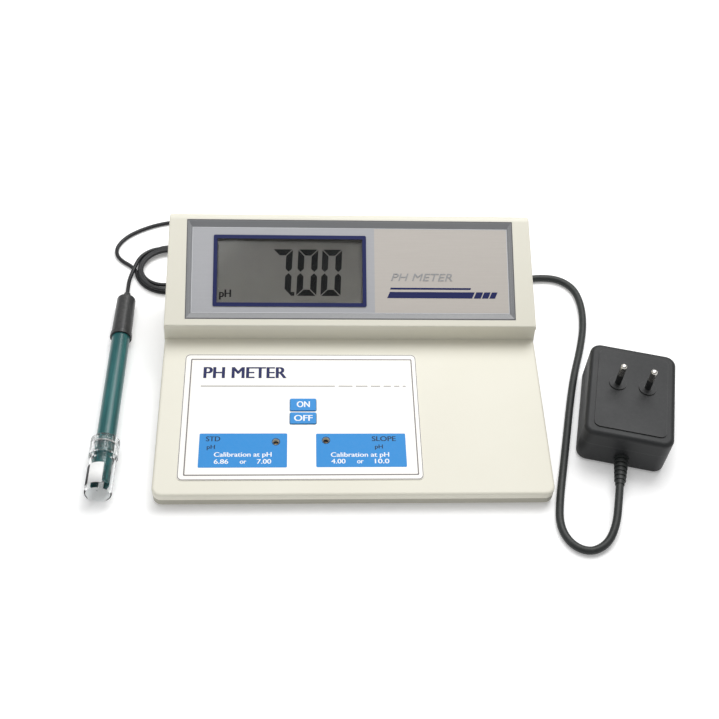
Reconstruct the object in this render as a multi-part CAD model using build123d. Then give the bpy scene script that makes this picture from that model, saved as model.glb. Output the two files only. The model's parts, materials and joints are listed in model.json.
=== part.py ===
from build123d import *
import math
import os

# Bench pH meter: a wedge-shaped case with a raised display head, a combination electrode on a
# coaxial cable, and a plug-in supply on a cord.
# Millimetres. +X right, +Y to the back, +Z up, feet on Z = 0. Everything is drawn about the
# middle of the case, and moved to the frame's origin as it is written.

# ---------------------------------------------------------------- driving dimensions
# Case
CASE_WIDTH = 246.0
FRONT_RISE = 10.5             # deck's front edge above the table, less the wall
DECK_SLOPE = 5.0
DECK_LENGTH = 115.0           # along the slope, front edge to the head
HEAD_DEPTH = 70.438           # back of the head behind the deck's end
HEAD_STEP = 15.0              # front wall of the head, deck to lip
HEAD_OVERHANG = 1.5           # lip of the head past its front wall
LIP_HEIGHT = 3.5
FACE_SLOPE = 27.0
HEAD_TAPER = 2.0              # case's width less the head's, at the lip
HEAD_TOP_TAPER = 6.0          # the same at the top of the back
WALL = 2.5
PLAN_RADIUS = 6.0
DECK_EDGE_RADIUS = 1.8
HEAD_EDGE_RADIUS = 1.0
HEAD_BACK_RADIUS = 5.0
BAY_DEPTH = 18.0              # connector bay under the back of the head
BAY_TOP = 46.5
PARTING_HEIGHT = 8.0          # joint between the two shells
TONGUE_HEIGHT = 1.5
FIT_GAP = 0.15                # between pieces that drop into each other

# Feet and screws
FOOT_HEIGHT = 3.0
FOOT_RADIUS = 6.5
FOOT_INSET_X = 34.0
FOOT_SINK = 0.5               # how far a foot sits in the tray
FOOT_INSET_Y = 18.0
BOSS_RADIUS = 4.0
SCREW_RADIUS = 1.5
SCREW_HEAD_RADIUS = 2.8
SCREW_HEAD_HEIGHT = 2.0
CASE_SCREW_INSET_X = 14.0
CASE_SCREW_FRONT_Y = 38.0     # from the front edge
CASE_SCREW_BACK_Y = 14.0      # from the rear panel
CASE_SCREW_LENGTH = 7.0
SCREW_SINK = 2.5              # depth of the screw heads' pockets
BOSS_TOP = 10.0               # where the tray's bosses meet the cover's pillars
POST_RADIUS = 3.0
SMALL_SCREW_RADIUS = 1.0
SMALL_SCREW_LENGTH = 5.0
SMALL_HEAD_RADIUS = 1.9
SMALL_HEAD_HEIGHT = 1.0
BOARD_SCREW_INSET = 4.0

# Display, sizes measured along the sloping face
BEZEL_WIDTH = 217.0
BEZEL_LENGTH = 68.0
BEZEL_START = 4.5             # from the lip, up the face
BEZEL_SIDE = 3.25
BEZEL_END = 4.5
BEZEL_DEPTH = 2.2             # face to the plate
BEZEL_LAND = 0.8              # flat strip outside the bevel
BEZEL_RIM = 1.2               # thickness of the part outside the window
BEZEL_SEAT = 2.0              # how far the rim lies on the case
BEZEL_BACK = 4.4
BEZEL_LEDGE = 4.5
BEZEL_POST_RADIUS = 2.2
PLATE_THICKNESS = 1.2
WINDOW_INSET = 68.0           # bezel's left end to the middle of the window
WINDOW_START = 13.5
WINDOW_WIDTH = 101.0
WINDOW_LENGTH = 49.0
WINDOW_LINE = 2.5
WINDOW_LINE_HEIGHT = 0.5
LCD_THICKNESS = 2.8
LCD_DROP = 4.6                # face to the front of the cell
LCD_BORDER = 3.0              # cell beyond the clear window, at its two long edges
STRIP_THICKNESS = 2.2
STRIP_HEIGHT = 3.2
DISPLAY_BOARD_WIDTH = 118.0
BOARD_THICKNESS = 1.6

# Deck overlay, keys and trimmers, sizes measured along the deck
OVERLAY_CENTRE_X = -33.0
OVERLAY_START = 10.0
OVERLAY_WIDTH = 150.5
OVERLAY_LENGTH = 92.0
OVERLAY_THICKNESS = 0.5
OVERLAY_RADIUS = 3.0
KEY_CENTRE_X = -31.75
KEY_WIDTH = 16.5
ON_KEY_LENGTH = 8.9
OFF_KEY_LENGTH = 8.2
OFF_KEY_START = 49.2
ON_KEY_START = 58.8
KEY_CORNER_RADIUS = 0.8
KEY_PROUD = 0.9
KEY_TRAVEL = 0.5
KEY_GAP = 0.3
SWITCH_SIZE = 6.0
SWITCH_HEIGHT = 3.5
PLUNGER_RADIUS = 1.7
TRIMMER_HOLE_RADIUS = 2.0
STD_X = -48.6
STD_START = 36.5
SLOPE_X = -17.5
SLOPE_START = 37.5
TRIMMER_SIZE = 9.5
TRIMMER_HEIGHT = 3.6
ROTOR_RADIUS = 1.7
ROTOR_HEIGHT = 2.6
ROTOR_PROUD = 0.4
ROTOR_SLOT_WIDTH = 0.6
ROTOR_SLOT_DEPTH = 0.9
KEY_BOARD_WIDTH = 64.0
KEY_BOARD_LENGTH = 48.0
KEY_BOARD_START = 30.0
KEY_BOARD_DEPTH = 4.1         # top of the deck to the bodies of the key switches
KEY_FLANGE_THICKNESS = 0.6
KEY_FLANGE_GAP = 0.05
PLUNGER_LENGTH = 2.0
KEY_FLANGE_LIP = 1.0

# Main board
MAIN_BOARD_INSET = 23.0       # from each side of the case
MAIN_BOARD_DEPTH = 42.0
MAIN_BOARD_FROM_BACK = 44.5
MAIN_BOARD_Z = 11.5
MAIN_SCREW_INSET_X = 20.0     # clear of the two sockets
CAPACITOR_RADIUS = 4.0
CAPACITOR_HEIGHT = 11.0
RIBBON_X = 4.0
RIBBON_WIDTH = 20.0
RIBBON_THICKNESS = 0.9
RIBBON_ALONG = 24.0           # its end on the display board, up the face
RIBBON_FROM_BACK = 36.5       # its end on the main board
LEAD_DIAMETER = 2.4
LEAD_BEND = 5.0

# Rear panel and its connectors
PANEL_INSET_X = 18.0          # from each side of the case
PANEL_HEIGHT = 34.0
PANEL_THICKNESS = 2.0
PANEL_LIP = 4.0               # panel behind the wall, above and below the opening
PANEL_END_LIP = 8.0
PANEL_SCREW_INSET = 5.0
PANEL_SCREW_RADIUS = 1.0
PANEL_CENTRE_Z = 27.0
SOCKET_INSET = 39.0           # from the left side of the case
SOCKET_Z = 26.0
JACK_INSET = 31.0             # from the right side of the case
JACK_Z = 22.0
BARREL_RADIUS = 4.8           # outside of the socket's bayonet barrel
BARREL_BORE = 4.1
BARREL_REACH = 15.0           # past the panel
THREAD_RADIUS = 5.5
THREAD_REACH = 4.0
SOCKET_BACK = 8.0             # behind the panel's outer face
SOCKET_FLANGE_RADIUS = 7.0
INSULATOR_REACH = 6.0
CONTACT_RADIUS = 1.0
CONTACT_REACH = 12.0
CONTACT_TAIL = 3.0
CONTACT_BORE_DEPTH = 6.5
NUT_RADIUS = 8.0
NUT_THICKNESS = 2.5
LUG_RADIUS = 1.0
LUG_REACH = 0.9
LUG_AT = 11.0
RING_RADIUS = 7.25
RING_START = 6.5
RING_LENGTH = 14.0
RING_FLUTES = 24
RING_END_GAP = 0.3
RUN_GAP = 0.08                # radial running clearance of turning pieces
PLUG_PIN_RADIUS = 0.65
PLUG_BODY_RADIUS = 6.2
PLUG_BODY_LENGTH = 10.0
PLUG_INSULATOR_RADIUS = 2.5
BOOT_TIP_RADIUS = 1.7
BOOT_LENGTH = 12.0
JACK_WIDTH = 9.5
JACK_DEPTH = 13.0
JACK_HALF_HEIGHT = 5.5
JACK_NOSE_RADIUS = 4.0
JACK_BORE = 2.8               # bore for the supply plug's barrel
JACK_PIN_RADIUS = 1.0
DC_BARREL_RADIUS = 2.75
DC_BARREL_LENGTH = 9.5
DC_PLUG_RADIUS = 4.8
DC_PLUG_LENGTH = 22.0
DC_BOOT_LENGTH = 12.0
PLUG_SEAT = 0.1               # gap between the plug and the panel

# Electrode, lying beside the case. Lengths run along its axis from the closed end of the bottle.
ELECTRODE_GAP = 32.0          # axis to the left side of the case
ELECTRODE_END_FROM_BACK = 183.0
TUBE_RADIUS = 6.0
TUBE_WALL = 1.1
TUBE_LENGTH = 120.0
TUBE_TIP = 8.0                # from the bottle's end to the tube's open end
GUARD_DEPTH = 10.0
GUARD_WEB = 2.0
GUARD_SLOT_LENGTH = 9.0
GUARD_SLOT_WIDTH = 3.5
ELECTRODE_HEAD_WALL = 0.8     # head's radius beyond the tube's
COLLAR_WALL = 1.25
ELECTRODE_HEAD_LENGTH = 36.0
COLLAR_LENGTH = 3.0
HEAD_SOCKET_DEPTH = 2.0       # how far the tube enters the head
NUB_RADIUS = 3.2
NUB_TIP_RADIUS = 2.2
NUB_LENGTH = 5.0
BOTTLE_SPACE = 2.3            # bottle's radius beyond the tube's
BOTTLE_WALL = 1.1
BOTTLE_LENGTH = 36.0
BOTTLE_FLOOR = 1.5
NECK_SPACE = 1.2
NECK_GAP = 0.3                # bottle's shoulder to the cap
CAP_SPACE = 3.0
CAP_LENGTH = 13.0
CAP_START = 28.0
CAP_RIBS = 20
SEAL_THICKNESS = 1.2
STEM_RADIUS = 3.0
STEM_LENGTH = 100.0
BULB_RADIUS = 3.9
BULB_FROM_TIP = 6.0
GLASS_WALL = 0.5

# Cables
CABLE_DIAMETER = 2.8
ELECTRODE_COIL_CENTRE = (-129.0, 105.5)
ELECTRODE_COIL_OUTER = 25.4
ELECTRODE_COIL_INNER = 13.5
ELECTRODE_COIL_HEIGHT = 5.8
CORD_DIAMETER = 5.0
CORD_COIL_CENTRE = (46.0, 116.0)
CORD_COIL_OUTER = 31.5
CORD_COIL_INNER = 20.0
CORD_COIL_HEIGHT = 15.2

# Routes of the free cables: points chosen by hand for a case 246 wide and 185 deep
ELECTRODE_CABLE_ROUTE = [
    (-84.0, 114.8, 26.0),
    (-84.6, 127.0, 24.6),
    (-88.5, 138.5, 18.5),
    (-97.0, 147.5, 10.5),
    (-109.5, 153.0, 4.4),
    (-124.0, 155.4, 1.6),
    (-139.0, 152.4, 1.5),
    (-152.5, 146.0, 1.5),
    (-163.2, 137.6, 1.5),
    (-169.0, 126.5, 1.5),
    (-166.4, 115.5, 1.8),
    (-153.8, 105.4, 2.4),
]
ELECTRODE_END_ROUTE = [
    (-153.6, 101.2, 2.6),
    (-155.6, 93.0, 3.6),
    (-155.3, 84.8, 5.6),
    (-155.0, 76.46, 6.51),
]
CORD_START_ROUTE = [
    (92.0, 106.1, 22.0),
    (91.4, 120.5, 21.2),
    (86.2, 133.0, 16.8),
    (75.6, 140.6, 11.8),
    (63.0, 141.9, 9.0),
]
CORD_ROUTE = [
    (60.5, 90.1, 2.7),
    (84.0, 89.0, 2.6),
    (104.5, 90.6, 2.6),
    (123.0, 95.3, 2.6),
    (140.8, 98.6, 2.6),
    (155.2, 97.2, 2.6),
    (165.2, 88.2, 2.6),
    (168.2, 73.0, 2.6),
    (166.6, 53.0, 2.6),
    (160.6, 31.0, 2.6),
    (152.6, 8.5, 2.6),
    (146.2, -14.5, 2.6),
    (140.0, -40.0, 2.6),
    (133.6, -66.0, 2.6),
    (127.6, -90.0, 2.6),
    (124.4, -108.6, 2.6),
    (129.6, -122.0, 2.6),
    (140.6, -127.4, 2.6),
    (152.0, -122.0, 3.4),
    (158.6, -110.5, 6.0),
    (161.9, -97.0, 8.6),
    (165.0, -84.03, 9.0),
]

# Adaptor, lying on its back to the right of the case
ADAPTOR_GAP = 55.2            # adaptor's middle to the right side of the case
ADAPTOR_FROM_BACK = 121.1
ADAPTOR_TURN = -13.4
ADAPTOR_WIDTH = 56.0
ADAPTOR_LENGTH = 74.0
ADAPTOR_HEIGHT = 31.0
ADAPTOR_SPLIT = 19.0
ADAPTOR_WALL = 2.2
ADAPTOR_RADIUS = 7.0
ADAPTOR_EDGE_RADIUS = 3.0
PIN_RADIUS = 2.0
PIN_SPACING = 19.0
PIN_LENGTH = 19.0
PIN_COLLAR_RADIUS = 2.6       # sleeve where it passes through the face
PIN_FLANGE_RADIUS = 3.4
PANEL_RISE = 0.8               # raised panel of the pin face
PANEL_ROOT = 0.5               # how far it reaches into the face
PANEL_RADIUS = 4.0
PANEL_INSET = 5.5
BOSS_RISE = 0.8                # round bosses at the pins, above the panel
PIN_BOSS_RADIUS = 5.5
PIN_BACK = 5.0                # pins' place, behind the adaptor's middle
RELIEF_RADIUS = 4.6
RELIEF_LENGTH = 20.0
RELIEF_Z = 9.0
RELIEF_NECK = 3.0
RELIEF_TIP_RADIUS = 2.9
RELIEF_FLANGE = 1.6
RELIEF_RINGS = 6
PIN_SLEEVE_LENGTH = 10.0
PIN_CORE_RADIUS = 1.4
ADAPTOR_SCREW_INSET = 7.0
ADAPTOR_SCREW_SPAN = 36.0
ADAPTOR_SCREW_LENGTH = 8.0    # in the front shell
ADAPTOR_SCREW_Z = 12.0        # seat of the screw heads, which go in from the back
CORE_WIDTH = 30.0
CORE_STACK = 18.0
CORE_HEIGHT = 19.5
CORE_YOKE = 4.5
CORE_LEG = 9.0
CORE_WINDOW = 5.5
CORE_Z = 6.0
TRANSFORMER_Y = 8.0
WINDING_REACH = 5.0
WINDING_GAP = 0.2
RECTIFIER_WIDTH = 30.0
RECTIFIER_DEPTH = 14.0
RECTIFIER_Y = -19.0
RECTIFIER_Z = 6.0
RIB_THICKNESS = 2.0

# ---------------------------------------------------------------- worked-out places
HALF_WIDTH = CASE_WIDTH / 2
CASE_DEPTH = DECK_LENGTH * math.cos(math.radians(DECK_SLOPE)) + HEAD_DEPTH
FRONT_HEIGHT = FRONT_RISE + WALL
HEAD_WIDTH = CASE_WIDTH - HEAD_TAPER
HEAD_TOP_WIDTH = CASE_WIDTH - HEAD_TOP_TAPER
KEY_BOARD_GAP = KEY_BOARD_DEPTH - WALL
WINDOW_CENTRE_X = WINDOW_INSET - BEZEL_WIDTH / 2
MAIN_BOARD_WIDTH = CASE_WIDTH - 2 * MAIN_BOARD_INSET
PANEL_WIDTH = CASE_WIDTH - 2 * PANEL_INSET_X
SOCKET_X = SOCKET_INSET - CASE_WIDTH / 2
JACK_X = CASE_WIDTH / 2 - JACK_INSET
ELECTRODE_X = -CASE_WIDTH / 2 - ELECTRODE_GAP
ADAPTOR_X = CASE_WIDTH / 2 + ADAPTOR_GAP
SIDE_SHIFT = CASE_WIDTH / 2 - 123.0
BACK_SHIFT = CASE_DEPTH / 2 - 92.5
FRONT_Y = -CASE_DEPTH / 2
BACK_Y = CASE_DEPTH / 2
MAIN_BOARD_Y = BACK_Y - MAIN_BOARD_FROM_BACK
RIBBON_Y = BACK_Y - RIBBON_FROM_BACK
ELECTRODE_END_Y = BACK_Y - ELECTRODE_END_FROM_BACK
ADAPTOR_Y = BACK_Y - ADAPTOR_FROM_BACK
HEAD_FRONT_Y = FRONT_Y + DECK_LENGTH * math.cos(math.radians(DECK_SLOPE))
DECK_BACK_Z = FRONT_HEIGHT + DECK_LENGTH * math.sin(math.radians(DECK_SLOPE))
LIP_Y = HEAD_FRONT_Y - HEAD_OVERHANG
LIP_Z = DECK_BACK_Z + HEAD_STEP
HEAD_TOP_Z = LIP_Z + (BACK_Y - LIP_Y) * math.tan(math.radians(FACE_SLOPE))
BAY_Y = BACK_Y - BAY_DEPTH
PANEL_Y = BAY_Y - WALL        # outer face of the rear panel

MAIN_BOARD_TOP = MAIN_BOARD_Z + BOARD_THICKNESS
CASE_SCREW_Z = FOOT_HEIGHT + SCREW_SINK
DISPLAY_BOARD_DROP = LCD_DROP + LCD_THICKNESS + STRIP_HEIGHT
KEY_BOARD_DROP = WALL + KEY_BOARD_GAP + SWITCH_HEIGHT
RING_END = RING_START + RING_LENGTH
PLUG_END = RING_END + RING_END_GAP + PLUG_BODY_LENGTH
TUBE_BORE = TUBE_RADIUS - TUBE_WALL
ELECTRODE_HEAD_RADIUS = TUBE_RADIUS + ELECTRODE_HEAD_WALL
ELECTRODE_COLLAR_RADIUS = TUBE_RADIUS + COLLAR_WALL
BOTTLE_RADIUS = TUBE_RADIUS + BOTTLE_SPACE
NECK_RADIUS = TUBE_RADIUS + NECK_SPACE
CAP_RADIUS = TUBE_RADIUS + CAP_SPACE
SEAL_TOP = BOTTLE_LENGTH + 0.2 + SEAL_THICKNESS
HEAD_START = TUBE_TIP + TUBE_LENGTH - HEAD_SOCKET_DEPTH
CAP_END = CAP_START + CAP_LENGTH
# the electrode leans on the table with its cap and, further on, with its thinner collar
ELECTRODE_TILT = math.atan((CAP_RADIUS - ELECTRODE_COLLAR_RADIUS) / (HEAD_START + COLLAR_LENGTH - CAP_END))
ELECTRODE_END_Z = 0.02 + CAP_RADIUS * math.cos(ELECTRODE_TILT) + CAP_END * math.sin(ELECTRODE_TILT)
ELECTRODE = Location(
    (ELECTRODE_X, ELECTRODE_END_Y, ELECTRODE_END_Z),
    (-90 - math.degrees(ELECTRODE_TILT), 0, 0),
)
ADAPTOR = Location((ADAPTOR_X, ADAPTOR_Y, 0), (0, 0, ADAPTOR_TURN))
RELIEF = ADAPTOR * Location((0, -ADAPTOR_LENGTH / 2, RELIEF_Z), (90, 0, 0))
# the frame's origin is the middle of the footprint of the case and the electrode together
IN_FRAME = Location((-(ELECTRODE_X - CAP_RADIUS + HALF_WIDTH) / 2, 0, 0))

DECK = Plane(
    origin=(0, FRONT_Y, FRONT_HEIGHT),
    x_dir=(1, 0, 0),
    z_dir=(0, -math.sin(math.radians(DECK_SLOPE)), math.cos(math.radians(DECK_SLOPE))),
)
FACE = Plane(
    origin=(0, LIP_Y, LIP_Z),
    x_dir=(1, 0, 0),
    z_dir=(0, -math.sin(math.radians(FACE_SLOPE)), math.cos(math.radians(FACE_SLOPE))),
)
ON_BOTTOM = (Align.CENTER, Align.CENTER, Align.MIN)
HANGING = (Align.CENTER, Align.CENTER, Align.MAX)


def on_deck(x, along, lift=0.0):
    """Place on the sloping deck: x across, then up the slope, then out of it."""
    return DECK.location * Location((x, along, lift))


def on_face(x, along, lift=0.0):
    """Place on the display face: x across, then up the face, then out of it."""
    return FACE.location * Location((x, along, lift))


def rounded_slab(width, length, height, radius):
    """Slab on the XY plane with rounded corners in plan."""
    return extrude(RectangleRounded(width, length, radius), height)


# ---------------------------------------------------------------- case
def case_volume(inset):
    """Closed outer form of the case, brought in by inset on every side."""
    side = Polygon(
        (FRONT_Y, FOOT_HEIGHT),
        (FRONT_Y, FRONT_HEIGHT),
        (HEAD_FRONT_Y, DECK_BACK_Z),
        (HEAD_FRONT_Y, LIP_Z - LIP_HEIGHT),
        (LIP_Y, LIP_Z - LIP_HEIGHT),
        (LIP_Y, LIP_Z),
        (BACK_Y, HEAD_TOP_Z),
        (BACK_Y, BAY_TOP),
        (BAY_Y, BAY_TOP),
        (BAY_Y, FOOT_HEIGHT),
        align=None,
    )
    top_back = side.vertices().sort_by(Axis.Y)[-1]
    side = fillet(top_back, HEAD_BACK_RADIUS)
    front = Polygon(
        (-HALF_WIDTH, FOOT_HEIGHT),
        (-HALF_WIDTH, DECK_BACK_Z),
        (-HEAD_WIDTH / 2, LIP_Z),
        (-HEAD_TOP_WIDTH / 2, HEAD_TOP_Z),
        (HEAD_TOP_WIDTH / 2, HEAD_TOP_Z),
        (HEAD_WIDTH / 2, LIP_Z),
        (HALF_WIDTH, DECK_BACK_Z),
        (HALF_WIDTH, FOOT_HEIGHT),
        align=None,
    )
    plan = RectangleRounded(CASE_WIDTH, CASE_DEPTH, PLAN_RADIUS)
    if inset > 0:
        side = offset(side, -inset, kind=Kind.INTERSECTION)
        front = offset(front, -inset, kind=Kind.INTERSECTION)
        plan = offset(plan, -inset)
    side_solid = Plane.YZ * extrude(side, HALF_WIDTH + 1, both=True)
    front_solid = Plane.XZ * extrude(front, BACK_Y + 1, both=True)
    plan_solid = extrude(plan, HEAD_TOP_Z + 1)
    return side_solid & front_solid & plan_solid


def slab_between(low, high):
    """Level slice of space, wider than the case."""
    return Pos(0, 0, low) * Box(2 * CASE_WIDTH, 2 * CASE_DEPTH, high - low, align=ON_BOTTOM)


def case_shell():
    """Hollow case with its outer edges rounded, not yet parted."""
    whole = case_volume(0)
    front_part = Pos(0, HEAD_FRONT_Y, 0) * Box(
        2 * CASE_WIDTH, CASE_DEPTH, 2 * DECK_BACK_Z, align=(Align.CENTER, Align.MAX, Align.CENTER)
    )
    deck = whole & front_part
    head = whole - front_part
    deck_edges = [
        edge
        for edge in deck.edges()
        if abs(DECK.to_local_coords(edge.center()).Z) < 0.02 and edge.center().Y < HEAD_FRONT_Y - 1
    ]
    deck = fillet(deck_edges, DECK_EDGE_RADIUS)
    face_edges = [
        edge
        for edge in head.edges()
        if abs(FACE.to_local_coords(edge.center()).Z) < 0.02
        and (edge.center().Y < LIP_Y + 1 or abs(edge.center().X) > HEAD_TOP_WIDTH / 4)
    ]
    head = fillet(face_edges, HEAD_EDGE_RADIUS)
    return deck + head - case_volume(WALL)


def case_screw_places():
    """Points in plan of the four screws that hold the two shells together."""
    x = HALF_WIDTH - CASE_SCREW_INSET_X
    front = FRONT_Y + CASE_SCREW_FRONT_Y
    back = PANEL_Y - CASE_SCREW_BACK_Y
    return [(-x, front), (x, front), (-x, back), (x, back)]


def foot_places():
    """Points in plan of the four feet."""
    x = HALF_WIDTH - FOOT_INSET_X
    return [
        (sign * x, y)
        for sign in (-1, 1)
        for y in (FRONT_Y + FOOT_INSET_Y, BAY_Y - FOOT_INSET_Y)
    ]


def panel_screw_places():
    """Points (x, z) of the rear panel's screws."""
    x = PANEL_WIDTH / 2 - PANEL_END_LIP / 2
    z = PANEL_HEIGHT / 2 - PANEL_SCREW_INSET
    return [(sx * x, PANEL_CENTRE_Z + sz * z) for sx in (-1, 1) for sz in (-1, 1)]


def key_board_screw_places():
    """Points (x, along) of the key board's screws on the deck."""
    x = KEY_BOARD_WIDTH / 2 - BOARD_SCREW_INSET
    low = KEY_BOARD_START + BOARD_SCREW_INSET
    high = KEY_BOARD_START + KEY_BOARD_LENGTH - BOARD_SCREW_INSET
    return [(OVERLAY_CENTRE_X + s * x, along) for s in (-1, 1) for along in (low, high)]


def display_screw_places():
    """Points (x, along) of the display board's screws on the face."""
    x = DISPLAY_BOARD_WIDTH / 2 - BOARD_SCREW_INSET
    low = BEZEL_START + BEZEL_SEAT + BEZEL_LEDGE / 2
    high = BEZEL_START + BEZEL_LENGTH - BEZEL_SEAT - BEZEL_LEDGE / 2
    return [(WINDOW_CENTRE_X + s * x, along) for s in (-1, 1) for along in (low, high)]


def main_board_screw_places():
    """Points in plan of the main board's screws."""
    x = MAIN_BOARD_WIDTH / 2 - MAIN_SCREW_INSET_X
    y = MAIN_BOARD_DEPTH / 2 - BOARD_SCREW_INSET
    return [(sx * x, MAIN_BOARD_Y + sy * y) for sx in (-1, 1) for sy in (-1, 1)]


def bottom_shell(shell):
    """Tray: floor, low rim with a tongue, screw bosses and board posts."""
    tray = shell & slab_between(FOOT_HEIGHT - 1, PARTING_HEIGHT)
    tongue = case_volume(WALL / 2 + FIT_GAP) - case_volume(WALL)
    tray += tongue & slab_between(PARTING_HEIGHT - 1, PARTING_HEIGHT + TONGUE_HEIGHT)
    for x, y in case_screw_places():
        tray += Pos(x, y, FOOT_HEIGHT) * Cylinder(BOSS_RADIUS, BOSS_TOP - FOOT_HEIGHT, align=ON_BOTTOM)
    for x, y in main_board_screw_places():
        tray += Pos(x, y, FOOT_HEIGHT + 1) * Cylinder(
            POST_RADIUS, MAIN_BOARD_Z - FOOT_HEIGHT - 1, align=ON_BOTTOM
        )
    for x, y in case_screw_places():
        tray -= Pos(x, y, FOOT_HEIGHT - 1) * Cylinder(SCREW_RADIUS + FIT_GAP, 20, align=ON_BOTTOM)
        tray -= Pos(x, y, FOOT_HEIGHT - 1) * Cylinder(
            SCREW_HEAD_RADIUS + FIT_GAP, 1 + SCREW_SINK, align=ON_BOTTOM
        )
    for x, y in main_board_screw_places():
        tray -= Pos(x, y, MAIN_BOARD_Z) * Cylinder(SMALL_SCREW_RADIUS, SMALL_SCREW_LENGTH, align=HANGING)
    for x, y in foot_places():
        tray -= Pos(x, y, FOOT_HEIGHT - 1) * Cylinder(
            FOOT_RADIUS + FIT_GAP, 1 + FOOT_SINK, align=ON_BOTTOM
        )
    return tray


def top_shell(shell):
    """Cover: deck, head and rear wall, with its windows, holes and screw pillars."""
    cover = shell & slab_between(PARTING_HEIGHT, HEAD_TOP_Z + 5)
    inside = case_volume(WALL / 2)
    for x, y in case_screw_places():
        cover += Pos(x, y, BOSS_TOP) * Cylinder(BOSS_RADIUS, HEAD_TOP_Z, align=ON_BOTTOM) & inside
    for x, along in key_board_screw_places():
        cover += on_deck(x, along, -WALL / 2) * Cylinder(
            POST_RADIUS, KEY_BOARD_DROP - WALL / 2, align=HANGING
        )
    cover -= (case_volume(WALL / 2) - case_volume(WALL)) & slab_between(
        PARTING_HEIGHT - 1, PARTING_HEIGHT + TONGUE_HEIGHT + FIT_GAP
    )
    for x, y in case_screw_places():
        cover -= Pos(x, y, BOSS_TOP - 1) * Cylinder(
            SCREW_RADIUS, 1 + CASE_SCREW_LENGTH - (BOSS_TOP - CASE_SCREW_Z), align=ON_BOTTOM
        )
    # deck: keys, trimmer holes, key board screws
    for along, length in ((ON_KEY_START, ON_KEY_LENGTH), (OFF_KEY_START, OFF_KEY_LENGTH)):
        cover -= on_deck(KEY_CENTRE_X, along + length / 2) * key_window(length)
    for x, along in ((STD_X, STD_START), (SLOPE_X, SLOPE_START)):
        cover -= on_deck(x, along) * Cylinder(TRIMMER_HOLE_RADIUS, 4 * WALL)
    for x, along in key_board_screw_places():
        cover -= on_deck(x, along, -KEY_BOARD_DROP - 1) * Cylinder(
            SMALL_SCREW_RADIUS, 1 + SMALL_SCREW_LENGTH - BOARD_THICKNESS, align=ON_BOTTOM
        )
    # face: seat and window of the bezel
    centre = BEZEL_START + BEZEL_LENGTH / 2
    cover -= on_face(0, centre, -BEZEL_RIM) * Box(
        BEZEL_WIDTH + 2 * FIT_GAP, BEZEL_LENGTH + 2 * FIT_GAP, 5, align=ON_BOTTOM
    )
    cover -= on_face(0, centre) * Box(
        BEZEL_WIDTH - 2 * BEZEL_SEAT + 2 * FIT_GAP,
        BEZEL_LENGTH - 2 * BEZEL_SEAT + 2 * FIT_GAP,
        4 * WALL,
    )
    # back wall: opening over the panel and its screw holes
    cover -= Pos(0, BAY_Y, PANEL_CENTRE_Z) * Box(
        PANEL_WIDTH - 2 * PANEL_END_LIP, 4 * WALL, PANEL_HEIGHT - 2 * PANEL_LIP
    )
    for x, z in panel_screw_places():
        cover -= facing_back(x, BAY_Y, z) * Cylinder(PANEL_SCREW_RADIUS + FIT_GAP, 4 * WALL)
    return cover


def rubber_feet():
    """Four round feet, stuck in shallow recesses of the tray."""
    foot = Cylinder(FOOT_RADIUS, FOOT_HEIGHT + FOOT_SINK, align=ON_BOTTOM)
    foot = chamfer(foot.edges().group_by(Axis.Z)[0], 0.6)
    return [Pos(x, y, 0) * foot for x, y in foot_places()]


def pan_screw(radius, length, head_radius, head_height):
    """Screw pointing up, its head below the XY plane, with a cross recess."""
    screw = Cylinder(radius, length, align=ON_BOTTOM)
    screw += Cylinder(head_radius, head_height, align=HANGING)
    for turn in (0, 90):
        screw -= Pos(0, 0, -head_height) * Rot(0, 0, turn) * Box(
            head_radius, head_radius / 5, head_height
        )
    return screw


def case_screws():
    """Four self-tapping screws up through the tray."""
    screw = pan_screw(SCREW_RADIUS, CASE_SCREW_LENGTH, SCREW_HEAD_RADIUS, SCREW_HEAD_HEIGHT)
    return [Pos(x, y, CASE_SCREW_Z) * screw for x, y in case_screw_places()]


def board_screws():
    """Identical screws of the three boards."""
    screw = pan_screw(SMALL_SCREW_RADIUS, SMALL_SCREW_LENGTH, SMALL_HEAD_RADIUS, SMALL_HEAD_HEIGHT)
    display_drop = -DISPLAY_BOARD_DROP - BOARD_THICKNESS
    key_drop = -KEY_BOARD_DROP - BOARD_THICKNESS
    screws = [on_face(x, along, display_drop) * screw for x, along in display_screw_places()]
    screws += [on_deck(x, along, key_drop) * screw for x, along in key_board_screw_places()]
    screws += [Pos(x, y, MAIN_BOARD_TOP) * Rot(180, 0, 0) * screw for x, y in main_board_screw_places()]
    return screws


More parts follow.
